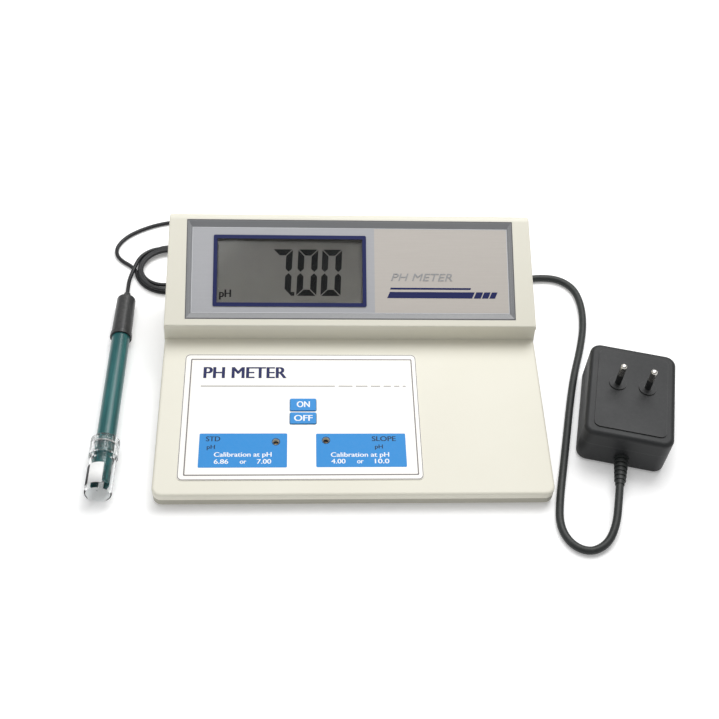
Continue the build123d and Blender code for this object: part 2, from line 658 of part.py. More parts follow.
# ---------------------------------------------------------------- display
def fascia_bezel():
    """Grey frame round the fascia, sloping down to it, with a ledge and four posts behind."""
    centre = BEZEL_START + BEZEL_LENGTH / 2
    width = BEZEL_WIDTH - 2 * BEZEL_SEAT
    length = BEZEL_LENGTH - 2 * BEZEL_SEAT
    rim = Pos(0, 0, -BEZEL_RIM) * Box(BEZEL_WIDTH, BEZEL_LENGTH, BEZEL_RIM, align=ON_BOTTOM)
    frame = rim + Box(width, length, BEZEL_BACK, align=HANGING)
    plate_width = BEZEL_WIDTH - 2 * BEZEL_SIDE
    plate_length = BEZEL_LENGTH - 2 * BEZEL_END
    slope = loft(
        [
            Plane.XY.offset(-BEZEL_DEPTH) * Rectangle(plate_width, plate_length),
            Plane.XY * Rectangle(BEZEL_WIDTH - 2 * BEZEL_LAND, BEZEL_LENGTH - 2 * BEZEL_LAND),
        ]
    )
    frame -= slope
    frame -= Box(plate_width, plate_length, BEZEL_DEPTH + PLATE_THICKNESS, align=HANGING)
    frame -= Box(width - 2 * BEZEL_LEDGE, length - 2 * BEZEL_LEDGE, 3 * BEZEL_BACK)
    post_length = DISPLAY_BOARD_DROP - BEZEL_BACK
    for x, along in display_screw_places():
        place = Pos(x, along - centre, -BEZEL_BACK)
        frame += place * Cylinder(BEZEL_POST_RADIUS, post_length, align=HANGING)
    for x, along in display_screw_places():
        place = Pos(x, along - centre, -DISPLAY_BOARD_DROP)
        frame -= place * Cylinder(SMALL_SCREW_RADIUS, SMALL_SCREW_LENGTH - BOARD_THICKNESS, align=ON_BOTTOM)
    return on_face(0, centre) * frame


def fascia_plate():
    """Printed plate on the bezel's ledge, with the opening for the clear window."""
    centre = BEZEL_START + BEZEL_LENGTH / 2
    plate = Box(
        BEZEL_WIDTH - 2 * BEZEL_SIDE - 2 * FIT_GAP,
        BEZEL_LENGTH - 2 * BEZEL_END - 2 * FIT_GAP,
        PLATE_THICKNESS,
        align=HANGING,
    )
    opening = Pos(WINDOW_CENTRE_X, WINDOW_START + WINDOW_LENGTH / 2 - centre, 0) * Box(
        WINDOW_WIDTH - 2 * WINDOW_LINE + 2 * FIT_GAP,
        WINDOW_LENGTH - 2 * WINDOW_LINE + 2 * FIT_GAP,
        4 * PLATE_THICKNESS,
    )
    return on_face(0, centre, -BEZEL_DEPTH) * (plate - opening)


def window_frame():
    """Thin raised frame round the clear window."""
    frame = Box(WINDOW_WIDTH, WINDOW_LENGTH, WINDOW_LINE_HEIGHT, align=ON_BOTTOM)
    frame = fillet(frame.edges().filter_by(Axis.Z), 1.0)
    frame -= Box(WINDOW_WIDTH - 2 * WINDOW_LINE, WINDOW_LENGTH - 2 * WINDOW_LINE, 4)
    return on_face(WINDOW_CENTRE_X, WINDOW_START + WINDOW_LENGTH / 2, -BEZEL_DEPTH) * frame


def display_window():
    """Clear pane in the plate's opening."""
    pane = Box(
        WINDOW_WIDTH - 2 * WINDOW_LINE,
        WINDOW_LENGTH - 2 * WINDOW_LINE,
        PLATE_THICKNESS,
        align=HANGING,
    )
    return on_face(WINDOW_CENTRE_X, WINDOW_START + WINDOW_LENGTH / 2, -BEZEL_DEPTH) * pane


def lcd_cell():
    """Liquid crystal cell: two glasses, the back one longer for its contacts."""
    width = WINDOW_WIDTH
    front = Box(width, WINDOW_LENGTH, LCD_THICKNESS / 2, align=HANGING)
    back = Pos(0, 0, -LCD_THICKNESS / 2) * Box(
        width, WINDOW_LENGTH + 2 * LCD_BORDER, LCD_THICKNESS / 2, align=HANGING
    )
    return on_face(WINDOW_CENTRE_X, WINDOW_START + WINDOW_LENGTH / 2, -LCD_DROP) * (front + back)


def contact_strips():
    """Two elastomer strips between the cell's long edges and the display board."""
    strip = Box(WINDOW_WIDTH - 6, STRIP_THICKNESS, STRIP_HEIGHT, align=HANGING)
    reach = WINDOW_LENGTH / 2 + LCD_BORDER - STRIP_THICKNESS / 2 - 0.5
    centre = WINDOW_START + WINDOW_LENGTH / 2
    drop = -LCD_DROP - LCD_THICKNESS
    return [on_face(WINDOW_CENTRE_X, centre + s * reach, drop) * strip for s in (-1, 1)]


def display_board():
    """Board behind the cell, screwed to the bezel's posts."""
    centre = BEZEL_START + BEZEL_LENGTH / 2
    length = BEZEL_LENGTH - 2 * BEZEL_SEAT
    board = on_face(WINDOW_CENTRE_X, centre, -DISPLAY_BOARD_DROP) * Box(
        DISPLAY_BOARD_WIDTH, length, BOARD_THICKNESS, align=HANGING
    )
    for x, along in display_screw_places():
        board -= on_face(x, along, -DISPLAY_BOARD_DROP) * Cylinder(SMALL_SCREW_RADIUS + FIT_GAP, 10)
    return board


def chip(width, length, height, leg_pitch, legs):
    """Dual in-line chip standing on the XY plane, legs along both long sides."""
    body = Pos(0, 0, 0.8) * Box(width, length, height - 0.8, align=ON_BOTTOM)
    for sign in (-1, 1):
        for index in range(legs):
            x = (index - (legs - 1) / 2) * leg_pitch
            body += Pos(x, sign * length / 2, 0) * Box(0.9, 0.9, height / 2, align=ON_BOTTOM)
    return body


# ---------------------------------------------------------------- deck
def key_window(length):
    """Rounded hole for a key, through the deck and the overlay."""
    hole = rounded_slab(KEY_WIDTH + 2 * KEY_GAP, length + 2 * KEY_GAP, 6 * WALL, KEY_CORNER_RADIUS + KEY_GAP)
    return Pos(0, 0, -3 * WALL) * hole


def keypad_overlay():
    """Printed overlay on the deck, with windows for the keys and the trimmers."""
    sheet = rounded_slab(OVERLAY_WIDTH, OVERLAY_LENGTH, OVERLAY_THICKNESS, OVERLAY_RADIUS)
    overlay = on_deck(OVERLAY_CENTRE_X, OVERLAY_START + OVERLAY_LENGTH / 2) * sheet
    for along, length in ((ON_KEY_START, ON_KEY_LENGTH), (OFF_KEY_START, OFF_KEY_LENGTH)):
        overlay -= on_deck(KEY_CENTRE_X, along + length / 2) * key_window(length)
    for x, along in ((STD_X, STD_START), (SLOPE_X, SLOPE_START)):
        overlay -= on_deck(x, along) * Cylinder(TRIMMER_HOLE_RADIUS, 4 * WALL)
    return overlay


def key_cap(start, length):
    """Key through the deck, held from below by a thin flange, with its switch plunger."""
    height = KEY_PROUD + OVERLAY_THICKNESS + WALL + KEY_FLANGE_GAP
    cap = rounded_slab(KEY_WIDTH, length, height, KEY_CORNER_RADIUS)
    cap = fillet(cap.edges().group_by(Axis.Z)[-1], 0.3)
    flange = Box(KEY_WIDTH + 2 * KEY_FLANGE_LIP, length, KEY_FLANGE_THICKNESS, align=HANGING)
    plunger = Cylinder(PLUNGER_RADIUS, KEY_FLANGE_THICKNESS + PLUNGER_LENGTH, align=HANGING)
    place = on_deck(KEY_CENTRE_X, start + length / 2, -WALL - KEY_FLANGE_GAP)
    return place * (cap + flange + plunger)


def key_switches():
    """Two square switch bodies on the key board, each bored for its plunger."""
    body = Box(SWITCH_SIZE, SWITCH_SIZE, SWITCH_HEIGHT, align=ON_BOTTOM)
    top_drop = WALL + KEY_BOARD_GAP
    plunger_end = WALL + KEY_FLANGE_GAP + KEY_FLANGE_THICKNESS + PLUNGER_LENGTH + KEY_TRAVEL
    bore_depth = plunger_end - top_drop + 0.2
    body -= Pos(0, 0, SWITCH_HEIGHT) * Cylinder(PLUNGER_RADIUS + FIT_GAP, bore_depth, align=HANGING)
    keys = ((ON_KEY_START, ON_KEY_LENGTH), (OFF_KEY_START, OFF_KEY_LENGTH))
    return [on_deck(KEY_CENTRE_X, start + length / 2, -KEY_BOARD_DROP) * body for start, length in keys]


def key_board():
    """Board under the deck that carries the switches and trimmers."""
    board = on_deck(OVERLAY_CENTRE_X, KEY_BOARD_START + KEY_BOARD_LENGTH / 2, -KEY_BOARD_DROP) * Box(
        KEY_BOARD_WIDTH, KEY_BOARD_LENGTH, BOARD_THICKNESS, align=HANGING
    )
    for x, along in key_board_screw_places():
        board -= on_deck(x, along, -KEY_BOARD_DROP) * Cylinder(SMALL_SCREW_RADIUS + FIT_GAP, 10)
    return board


def trimmer_bodies():
    """Two square trimmer bodies, each bored for its rotor."""
    body = Box(TRIMMER_SIZE, TRIMMER_SIZE, TRIMMER_HEIGHT, align=ON_BOTTOM)
    body = fillet(body.edges().filter_by(Axis.Z), 0.8)
    depth = ROTOR_HEIGHT - ROTOR_PROUD + 0.1
    body -= Pos(0, 0, TRIMMER_HEIGHT) * Cylinder(ROTOR_RADIUS + RUN_GAP, depth, align=HANGING)
    places = ((STD_X, STD_START), (SLOPE_X, SLOPE_START))
    return [on_deck(x, along, -KEY_BOARD_DROP) * body for x, along in places]


def trimmer_rotor(x, along):
    """Slotted rotor of one trimmer, seen down its hole."""
    rotor = Cylinder(ROTOR_RADIUS, ROTOR_HEIGHT, align=HANGING)
    rotor -= Box(3 * ROTOR_RADIUS, ROTOR_SLOT_WIDTH, 2 * ROTOR_SLOT_DEPTH)
    return on_deck(x, along, -KEY_BOARD_DROP + TRIMMER_HEIGHT + ROTOR_PROUD) * rotor


# ---------------------------------------------------------------- electronics in the case
def main_board():
    """Main board on the tray's posts."""
    board = Pos(0, MAIN_BOARD_Y, MAIN_BOARD_Z) * Box(
        MAIN_BOARD_WIDTH, MAIN_BOARD_DEPTH, BOARD_THICKNESS, align=ON_BOTTOM
    )
    for x, y in main_board_screw_places():
        board -= Pos(x, y, MAIN_BOARD_Z) * Cylinder(SMALL_SCREW_RADIUS + FIT_GAP, 10)
    return board


def amplifier_chip():
    """High-impedance input amplifier."""
    return Pos(-60, MAIN_BOARD_Y, MAIN_BOARD_TOP) * chip(9.8, 7.2, 4, 2.54, 4)


def converter_chip():
    """Converter and calibration chip."""
    return Pos(-20, MAIN_BOARD_Y - 6, MAIN_BOARD_TOP) * chip(36, 14, 4, 2.54, 14)


def smoothing_capacitors():
    """Three upright electrolytic capacitors."""
    can = Cylinder(CAPACITOR_RADIUS, CAPACITOR_HEIGHT, align=ON_BOTTOM)
    can = fillet(can.edges().group_by(Axis.Z)[-1], 0.8)
    places = ((56, -8), (68, -8), (62, 6))
    return [Pos(x, MAIN_BOARD_Y + dy, MAIN_BOARD_TOP) * can for x, dy in places]


def ribbon_cable():
    """Flat cable from the display board down to the main board, standing in its own bend."""
    top = on_face(0, RIBBON_ALONG, -DISPLAY_BOARD_DROP - BOARD_THICKNESS).position
    out = on_face(0, RIBBON_ALONG, -DISPLAY_BOARD_DROP - BOARD_THICKNESS - 8).position
    path = Bezier(
        (top.Y, top.Z),
        (out.Y, out.Z),
        (RIBBON_Y, MAIN_BOARD_TOP + 9),
        (RIBBON_Y, MAIN_BOARD_TOP),
    )
    strip = Plane.YZ * extrude(trace(path, RIBBON_THICKNESS), RIBBON_WIDTH / 2, both=True)
    return Pos(RIBBON_X, 0, 0) * strip


def input_lead():
    """Screened lead from the panel socket's contact to the main board."""
    back_y = PANEL_Y - SOCKET_BACK - CONTACT_TAIL
    drop_y = back_y - 1.5 * LEAD_BEND
    points = [
        (SOCKET_X, back_y, SOCKET_Z),
        (SOCKET_X, drop_y, SOCKET_Z),
        (SOCKET_X, drop_y, MAIN_BOARD_TOP),
    ]
    return tube_along(points, LEAD_DIAMETER, [LEAD_BEND])


# ---------------------------------------------------------------- rear panel and sockets
def facing_back(x, y, z):
    """Place whose +Z points out of the back of the case."""
    return Location((x, y, z), (-90, 0, 0))


def rear_panel():
    """Flat panel behind the back wall, bored for the two sockets."""
    panel = Pos(0, PANEL_Y - PANEL_THICKNESS / 2, PANEL_CENTRE_Z) * Box(
        PANEL_WIDTH, PANEL_THICKNESS, PANEL_HEIGHT
    )
    panel -= facing_back(SOCKET_X, PANEL_Y, SOCKET_Z) * Cylinder(THREAD_RADIUS + 0.1, 10)
    panel -= facing_back(JACK_X, PANEL_Y, JACK_Z) * Cylinder(JACK_NOSE_RADIUS + 0.1, 10)
    for x, z in panel_screw_places():
        panel -= facing_back(x, PANEL_Y, z) * Cylinder(PANEL_SCREW_RADIUS, 10)
    return panel


def rear_panel_screws():
    """Four screws through the back wall into the panel."""
    screw = pan_screw(PANEL_SCREW_RADIUS, WALL + PANEL_THICKNESS, 2.0, 1.4)
    return [facing_back(x, BAY_Y, z) * (Rot(180, 0, 0) * screw) for x, z in panel_screw_places()]


def socket_barrel():
    """Bayonet socket: flange inside, thread through the panel, barrel with two lugs."""
    body = Pos(0, 0, -SOCKET_BACK) * Cylinder(THREAD_RADIUS, SOCKET_BACK + THREAD_REACH, align=ON_BOTTOM)
    body += Pos(0, 0, -PANEL_THICKNESS) * Cylinder(SOCKET_FLANGE_RADIUS, 2.0, align=HANGING)
    body += Cylinder(BARREL_RADIUS, BARREL_REACH, align=ON_BOTTOM)
    lug = Rot(0, 90, 0) * Cylinder(LUG_RADIUS, 2 * (BARREL_RADIUS + LUG_REACH))
    body += Pos(0, 0, LUG_AT) * lug
    body -= Pos(0, 0, -SOCKET_BACK - 1) * Cylinder(
        BARREL_BORE, SOCKET_BACK + BARREL_REACH + 2, align=ON_BOTTOM
    )
    return facing_back(SOCKET_X, PANEL_Y, SOCKET_Z) * body


def socket_nut():
    """Hexagon nut on the outside of the panel."""
    nut = extrude(RegularPolygon(NUT_RADIUS, 6), NUT_THICKNESS)
    nut -= Cylinder(THREAD_RADIUS, 10)
    return facing_back(SOCKET_X, PANEL_Y, SOCKET_Z) * nut


def socket_insulator():
    """White insulator filling the back of the socket."""
    core = Pos(0, 0, -SOCKET_BACK) * Cylinder(BARREL_BORE, SOCKET_BACK + INSULATOR_REACH, align=ON_BOTTOM)
    core -= Cylinder(CONTACT_RADIUS, 40)
    return facing_back(SOCKET_X, PANEL_Y, SOCKET_Z) * core


def socket_contact():
    """Centre contact of the socket, bored for the plug's pin."""
    low = -SOCKET_BACK - CONTACT_TAIL
    contact = Pos(0, 0, low) * Cylinder(CONTACT_RADIUS, CONTACT_REACH - low, align=ON_BOTTOM)
    bore = Cylinder(PLUG_PIN_RADIUS + 0.05, CONTACT_BORE_DEPTH, align=HANGING)
    contact -= Pos(0, 0, CONTACT_REACH) * bore
    return facing_back(SOCKET_X, PANEL_Y, SOCKET_Z) * contact


def power_jack():
    """Supply inlet on the main board, its nose in the panel."""
    height = JACK_Z + JACK_HALF_HEIGHT - MAIN_BOARD_TOP
    jack = Pos(JACK_X, PANEL_Y - PANEL_THICKNESS - JACK_DEPTH / 2, MAIN_BOARD_TOP) * Box(
        JACK_WIDTH, JACK_DEPTH, height, align=ON_BOTTOM
    )
    jack += facing_back(JACK_X, PANEL_Y, JACK_Z) * Cylinder(
        JACK_NOSE_RADIUS, PANEL_THICKNESS + 1, align=HANGING
    )
    bore = Cylinder(JACK_BORE, DC_BARREL_LENGTH + 0.5, align=HANGING)
    bore -= Cylinder(JACK_PIN_RADIUS, DC_BARREL_LENGTH + 1, align=HANGING)
    jack -= facing_back(JACK_X, PANEL_Y, JACK_Z) * bore
    return jack


# ---------------------------------------------------------------- electrode's plug
def at_socket(lift):
    """Place on the socket's axis, lift out from the panel."""
    return facing_back(SOCKET_X, PANEL_Y + lift, SOCKET_Z)


def locking_ring():
    """Knurled bayonet ring that turns on the plug."""
    ring = Cylinder(RING_RADIUS, RING_LENGTH, align=ON_BOTTOM)
    ring = chamfer(ring.edges().group_by(Axis.Z)[-1], 0.8)
    for index in range(RING_FLUTES):
        turn = 360 * index / RING_FLUTES
        ring -= Rot(0, 0, turn) * Pos(RING_RADIUS + 0.35, 0, RING_LENGTH / 2) * Cylinder(
            0.7, RING_LENGTH - 4
        )
    ring -= Cylinder(BARREL_RADIUS + RUN_GAP, 3 * RING_LENGTH)
    groove_low = LUG_AT - LUG_RADIUS - 0.3 - RING_START
    groove_high = LUG_AT + LUG_RADIUS + 0.3 - RING_START
    groove_radius = BARREL_RADIUS + LUG_REACH + 0.3
    ring -= Pos(0, 0, groove_low) * Cylinder(groove_radius, groove_high - groove_low, align=ON_BOTTOM)
    ring -= Pos(0, 0, -1) * Box(
        2 * LUG_RADIUS + 0.6, 2 * groove_radius, groove_high + 1, align=ON_BOTTOM
    )
    return at_socket(RING_START) * ring


def plug_body():
    """Plug body: inner sleeve, neck that the ring turns on, and rear barrel."""
    sleeve = Pos(0, 0, RING_START) * Cylinder(
        BARREL_BORE - RUN_GAP, BARREL_REACH + 1 - RING_START, align=ON_BOTTOM
    )
    neck_low = BARREL_REACH + RING_END_GAP
    neck = Pos(0, 0, neck_low) * Cylinder(BARREL_RADIUS, RING_END + RING_END_GAP - neck_low, align=ON_BOTTOM)
    rear = Pos(0, 0, RING_END + RING_END_GAP) * Cylinder(PLUG_BODY_RADIUS, PLUG_BODY_LENGTH, align=ON_BOTTOM)
    rear = chamfer(rear.edges().group_by(Axis.Z)[-1], 1.0)
    body = sleeve + neck + rear
    body -= Cylinder(PLUG_INSULATOR_RADIUS, 100)
    return at_socket(0) * body


def plug_insulator():
    """Insulator inside the plug."""
    low = CONTACT_REACH + 0.4
    core = Pos(0, 0, low) * Cylinder(PLUG_INSULATOR_RADIUS, PLUG_END - low, align=ON_BOTTOM)
    core -= Cylinder(PLUG_PIN_RADIUS, 100)
    return at_socket(0) * core


def plug_pin():
    """Centre pin, from inside the socket's contact to the back of the plug."""
    low = CONTACT_REACH - CONTACT_BORE_DEPTH + 0.5
    return at_socket(low) * Cylinder(PLUG_PIN_RADIUS, PLUG_END - low, align=ON_BOTTOM)


def plug_boot():
    """Soft boot behind the plug."""
    boot = Cone(PLUG_BODY_RADIUS - 1.4, BOOT_TIP_RADIUS, BOOT_LENGTH, align=ON_BOTTOM)
    for index in range(3):
        boot -= Pos(0, 0, 3 + 2.8 * index) * (Cylinder(8, 1.0) - Cylinder(3.1 - 0.3 * index, 1.0))
    return at_socket(PLUG_END) * boot


# ---------------------------------------------------------------- electrode
def along_electrode(distance):
    """Place on the electrode's axis, distance from the closed end of the bottle."""
    return ELECTRODE * Pos(0, 0, distance)


def electrode_tube():
    """Body tube with slots through its open tip and a web that holds the glass stem."""
    tube = Cylinder(TUBE_RADIUS, TUBE_LENGTH, align=ON_BOTTOM)
    tube -= Pos(0, 0, -1) * Cylinder(TUBE_BORE, 1 + GUARD_DEPTH, align=ON_BOTTOM)
    web_top = GUARD_DEPTH + GUARD_WEB
    tube -= Pos(0, 0, web_top) * Cylinder(TUBE_BORE, TUBE_LENGTH, align=ON_BOTTOM)
    tube -= Cylinder(STEM_RADIUS, TUBE_LENGTH)
    for turn in (0, 90):
        tube -= Rot(0, 0, turn) * Box(4 * TUBE_RADIUS, GUARD_SLOT_WIDTH, 2 * GUARD_SLOT_LENGTH)
    return along_electrode(TUBE_TIP) * tube


def glass_stem():
    """Thin glass stem that ends in the sensing bulb."""
    stem = Cylinder(STEM_RADIUS, STEM_LENGTH, align=ON_BOTTOM) + Sphere(BULB_RADIUS)
    hollow = Cylinder(STEM_RADIUS - GLASS_WALL, STEM_LENGTH + 1, align=ON_BOTTOM)
    hollow += Sphere(BULB_RADIUS - GLASS_WALL)
    return along_electrode(TUBE_TIP + BULB_FROM_TIP) * (stem - hollow)


def electrode_head():
    """Moulded head with a collar round the tube and a tapered nub where the cable leaves."""
    cap = Cone(ELECTRODE_HEAD_RADIUS, ELECTRODE_HEAD_RADIUS - 0.5, ELECTRODE_HEAD_LENGTH, align=ON_BOTTOM)
    cap = fillet(cap.edges().group_by(Axis.Z)[-1], 1.5)
    cap += Cylinder(ELECTRODE_COLLAR_RADIUS, COLLAR_LENGTH, align=ON_BOTTOM)
    cap += Pos(0, 0, ELECTRODE_HEAD_LENGTH) * Cone(NUB_RADIUS, NUB_TIP_RADIUS, NUB_LENGTH, align=ON_BOTTOM)
    cap -= Pos(0, 0, -1) * Cylinder(TUBE_RADIUS, 1 + HEAD_SOCKET_DEPTH, align=ON_BOTTOM)
    return along_electrode(HEAD_START) * cap


def storage_bottle():
    """Soft bottle that keeps the bulb wet, with a neck inside the cap."""
    neck_low = CAP_START - NECK_GAP
    body = Cylinder(BOTTLE_RADIUS, neck_low, align=ON_BOTTOM)
    body = fillet(body.edges().group_by(Axis.Z)[0], 2.0)
    body += Pos(0, 0, neck_low - 1) * Cylinder(
        NECK_RADIUS, BOTTLE_LENGTH - neck_low + 1, align=ON_BOTTOM
    )
    hollow = Cylinder(NECK_RADIUS - BOTTLE_WALL, BOTTLE_LENGTH, align=ON_BOTTOM)
    wide_length = neck_low - 2 * BOTTLE_WALL - BOTTLE_FLOOR
    hollow += Cylinder(BOTTLE_RADIUS - BOTTLE_WALL, wide_length, align=ON_BOTTOM)
    hollow = Pos(0, 0, BOTTLE_FLOOR) * hollow
    return along_electrode(0) * (body - hollow)


def bottle_cap():
    """Ribbed screw cap that slides on the tube."""
    cap = Cylinder(CAP_RADIUS, CAP_LENGTH, align=ON_BOTTOM)
    cap = fillet(cap.edges().group_by(Axis.Z)[-1], 1.0)
    for index in range(CAP_RIBS):
        turn = 360 * index / CAP_RIBS
        cap -= Rot(0, 0, turn) * Pos(CAP_RADIUS + 0.45, 0, CAP_LENGTH / 2) * Cylinder(0.75, CAP_LENGTH - 4)
    cap -= Pos(0, 0, -1) * Cylinder(NECK_RADIUS + RUN_GAP, 1 + SEAL_TOP - CAP_START, align=ON_BOTTOM)
    cap -= Cylinder(TUBE_RADIUS + RUN_GAP, 3 * CAP_LENGTH)
    return along_electrode(CAP_START) * cap


def bottle_seal():
    """Ring between the bottle's neck, the cap and the tube."""
    ring = Torus(TUBE_RADIUS + RUN_GAP + SEAL_THICKNESS / 2, SEAL_THICKNESS / 2)
    return along_electrode(SEAL_TOP - SEAL_THICKNESS / 2) * ring


# ---------------------------------------------------------------- supply
def power_plug():
    """Supply plug: barrel in the inlet, grip and tapered relief."""
    plug = Cylinder(DC_PLUG_RADIUS, DC_PLUG_LENGTH, align=ON_BOTTOM)
    plug = fillet(plug.edges().group_by(Axis.Z)[-1], 1.2)
    plug += Pos(0, 0, DC_PLUG_LENGTH) * Cone(4.0, CORD_DIAMETER / 2 + 0.5, DC_BOOT_LENGTH, align=ON_BOTTOM)
    plug += Cylinder(DC_BARREL_RADIUS, PLUG_SEAT + DC_BARREL_LENGTH, align=HANGING)
    plug -= Pos(0, 0, 1) * Cylinder(JACK_PIN_RADIUS + 0.1, 2 + DC_BARREL_LENGTH, align=HANGING)
    return facing_back(JACK_X, PANEL_Y + PLUG_SEAT, JACK_Z) * plug


def adaptor_block(low, high):
    """Solid block of the adaptor's outline between two heights, cut from the whole rounded body."""
    block = rounded_slab(ADAPTOR_WIDTH, ADAPTOR_LENGTH, ADAPTOR_HEIGHT, ADAPTOR_RADIUS)
    ends = block.edges().group_by(Axis.Z)
    block = fillet(ends[0] + ends[-1], ADAPTOR_EDGE_RADIUS)
    return block & (Pos(0, 0, low) * Box(200, 200, high - low, align=ON_BOTTOM))


def adaptor_hollow():
    """Space inside the adaptor."""
    return Pos(0, 0, ADAPTOR_WALL) * rounded_slab(
        ADAPTOR_WIDTH - 2 * ADAPTOR_WALL,
        ADAPTOR_LENGTH - 2 * ADAPTOR_WALL,
        ADAPTOR_HEIGHT - 2 * ADAPTOR_WALL,
        ADAPTOR_RADIUS - ADAPTOR_WALL,
    )


def adaptor_screw_places():
    """Points in plan of the adaptor's screws, in its own frame."""
    x = ADAPTOR_WIDTH / 2 - ADAPTOR_SCREW_INSET
    return [(-x, PIN_BACK), (x, PIN_BACK - ADAPTOR_SCREW_SPAN)]


def adaptor_back_shell():
    """Shell that lies on the table."""
    shell = adaptor_block(0, ADAPTOR_SPLIT) - adaptor_hollow()
    for x, y in adaptor_screw_places():
        shell += Pos(x, y, 1) * Cylinder(BOSS_RADIUS, ADAPTOR_SPLIT - 1, align=ON_BOTTOM)
    for x, y in adaptor_screw_places():
        shell -= Pos(x, y, 0) * Cylinder(SCREW_RADIUS + FIT_GAP, 80)
        shell -= Pos(x, y, ADAPTOR_SCREW_Z) * Cylinder(SCREW_HEAD_RADIUS + FIT_GAP, 40, align=HANGING)
    for sign in (-1, 1):
        shell += Pos(0, TRANSFORMER_Y + sign * CORE_STACK / 4, 1) * Box(
            CORE_WIDTH - 4, RIB_THICKNESS, CORE_Z - 1, align=ON_BOTTOM
        )
        shell += Pos(sign * RECTIFIER_WIDTH / 3, RECTIFIER_Y, 1) * Box(
            RIB_THICKNESS, RECTIFIER_DEPTH - 4, RECTIFIER_Z - 1, align=ON_BOTTOM
        )
    shell -= Pos(0, -ADAPTOR_LENGTH / 2, RELIEF_Z) * Rot(90, 0, 0) * Cylinder(RELIEF_NECK, 4 * ADAPTOR_WALL)
    return ADAPTOR * shell


def adaptor_front_shell():
    """Shell with the pin face."""
    shell = adaptor_block(ADAPTOR_SPLIT, ADAPTOR_HEIGHT) - adaptor_hollow()
    for x, y in adaptor_screw_places():
        post = Pos(x, y, ADAPTOR_SPLIT) * Cylinder(
            BOSS_RADIUS, ADAPTOR_HEIGHT - 1 - ADAPTOR_SPLIT, align=ON_BOTTOM
        )
        shell += post
    width = ADAPTOR_WIDTH - 2 * PANEL_INSET
    length = ADAPTOR_LENGTH - 2 * PANEL_INSET
    panel = rounded_slab(width, length, PANEL_RISE + PANEL_ROOT, PANEL_RADIUS)
    shell += Pos(0, 0, ADAPTOR_HEIGHT - PANEL_ROOT) * panel
    for sign in (-1, 1):
        shell += Pos(sign * PIN_SPACING / 2, PIN_BACK, ADAPTOR_HEIGHT) * Cylinder(
            PIN_BOSS_RADIUS, PANEL_RISE + BOSS_RISE, align=ON_BOTTOM
        )
    for x, y in adaptor_screw_places():
        shell -= Pos(x, y, ADAPTOR_SPLIT) * Cylinder(SCREW_RADIUS, ADAPTOR_SCREW_LENGTH, align=ON_BOTTOM)
    for sign in (-1, 1):
        shell -= Pos(sign * PIN_SPACING / 2, PIN_BACK, 0) * Cylinder(PIN_COLLAR_RADIUS, 100)
    return ADAPTOR * shell


def adaptor_screws():
    """Two screws deep in the back, up into the front shell."""
    length = ADAPTOR_SCREW_LENGTH + ADAPTOR_SPLIT - ADAPTOR_SCREW_Z
    screw = pan_screw(SCREW_RADIUS, length, SCREW_HEAD_RADIUS, SCREW_HEAD_HEIGHT)
    return [ADAPTOR * Pos(x, y, ADAPTOR_SCREW_Z) * screw for x, y in adaptor_screw_places()]


def adaptor_pins():
    """Two round pins, thinner inside their sleeves, with a flange behind the face."""
    inner = ADAPTOR_HEIGHT - ADAPTOR_WALL
    tip = ADAPTOR_HEIGHT + PIN_LENGTH
    sleeve_top = ADAPTOR_HEIGHT + PIN_SLEEVE_LENGTH
    pin = Pos(0, 0, sleeve_top) * Cylinder(PIN_RADIUS, tip - sleeve_top, align=ON_BOTTOM)
    pin = fillet(pin.edges().group_by(Axis.Z)[-1], 1.5)
    pin += Pos(0, 0, inner - 3) * Cylinder(PIN_CORE_RADIUS, sleeve_top - inner + 3.5, align=ON_BOTTOM)
    pin += Pos(0, 0, inner) * Cylinder(PIN_FLANGE_RADIUS, 1.8, align=HANGING)
    return [ADAPTOR * Pos(sign * PIN_SPACING / 2, PIN_BACK, 0) * pin for sign in (-1, 1)]


def pin_sleeves():
    """Insulating sleeves on the lower half of the pins."""
    low = ADAPTOR_HEIGHT - ADAPTOR_WALL
    through = ADAPTOR_WALL + PANEL_RISE + BOSS_RISE
    sleeve = Pos(0, 0, low) * Cylinder(PIN_RADIUS, PIN_SLEEVE_LENGTH + ADAPTOR_WALL, align=ON_BOTTOM)
    sleeve += Pos(0, 0, low) * Cylinder(PIN_COLLAR_RADIUS, through, align=ON_BOTTOM)
    sleeve -= Cylinder(PIN_CORE_RADIUS, 200)
    return [ADAPTOR * Pos(sign * PIN_SPACING / 2, PIN_BACK, 0) * sleeve for sign in (-1, 1)]


def transformer_core():
    """Laminated core with a middle leg and two windows."""
    core = Box(CORE_WIDTH, CORE_STACK, CORE_HEIGHT, align=ON_BOTTOM)
    window = Box(CORE_WINDOW, 2 * CORE_STACK, CORE_HEIGHT - 2 * CORE_YOKE, align=ON_BOTTOM)
    for sign in (-1, 1):
        core -= Pos(sign * (CORE_LEG / 2 + CORE_WINDOW / 2), 0, CORE_YOKE) * window
    return ADAPTOR * Pos(0, TRANSFORMER_Y, CORE_Z) * core


def transformer_winding():
    """Wound bobbin round the middle leg."""
    height = CORE_HEIGHT - 2 * CORE_YOKE - 2 * WINDING_GAP
    reach = CORE_STACK + 2 * WINDING_REACH
    coil = rounded_slab(CORE_LEG + 2 * CORE_WINDOW - 2 * WINDING_GAP, reach, height, 2.0)
    coil -= Box(CORE_LEG + 2 * WINDING_GAP, CORE_STACK + 2 * WINDING_GAP, 4 * height)
    return ADAPTOR * Pos(0, TRANSFORMER_Y, CORE_Z + CORE_YOKE + WINDING_GAP) * coil


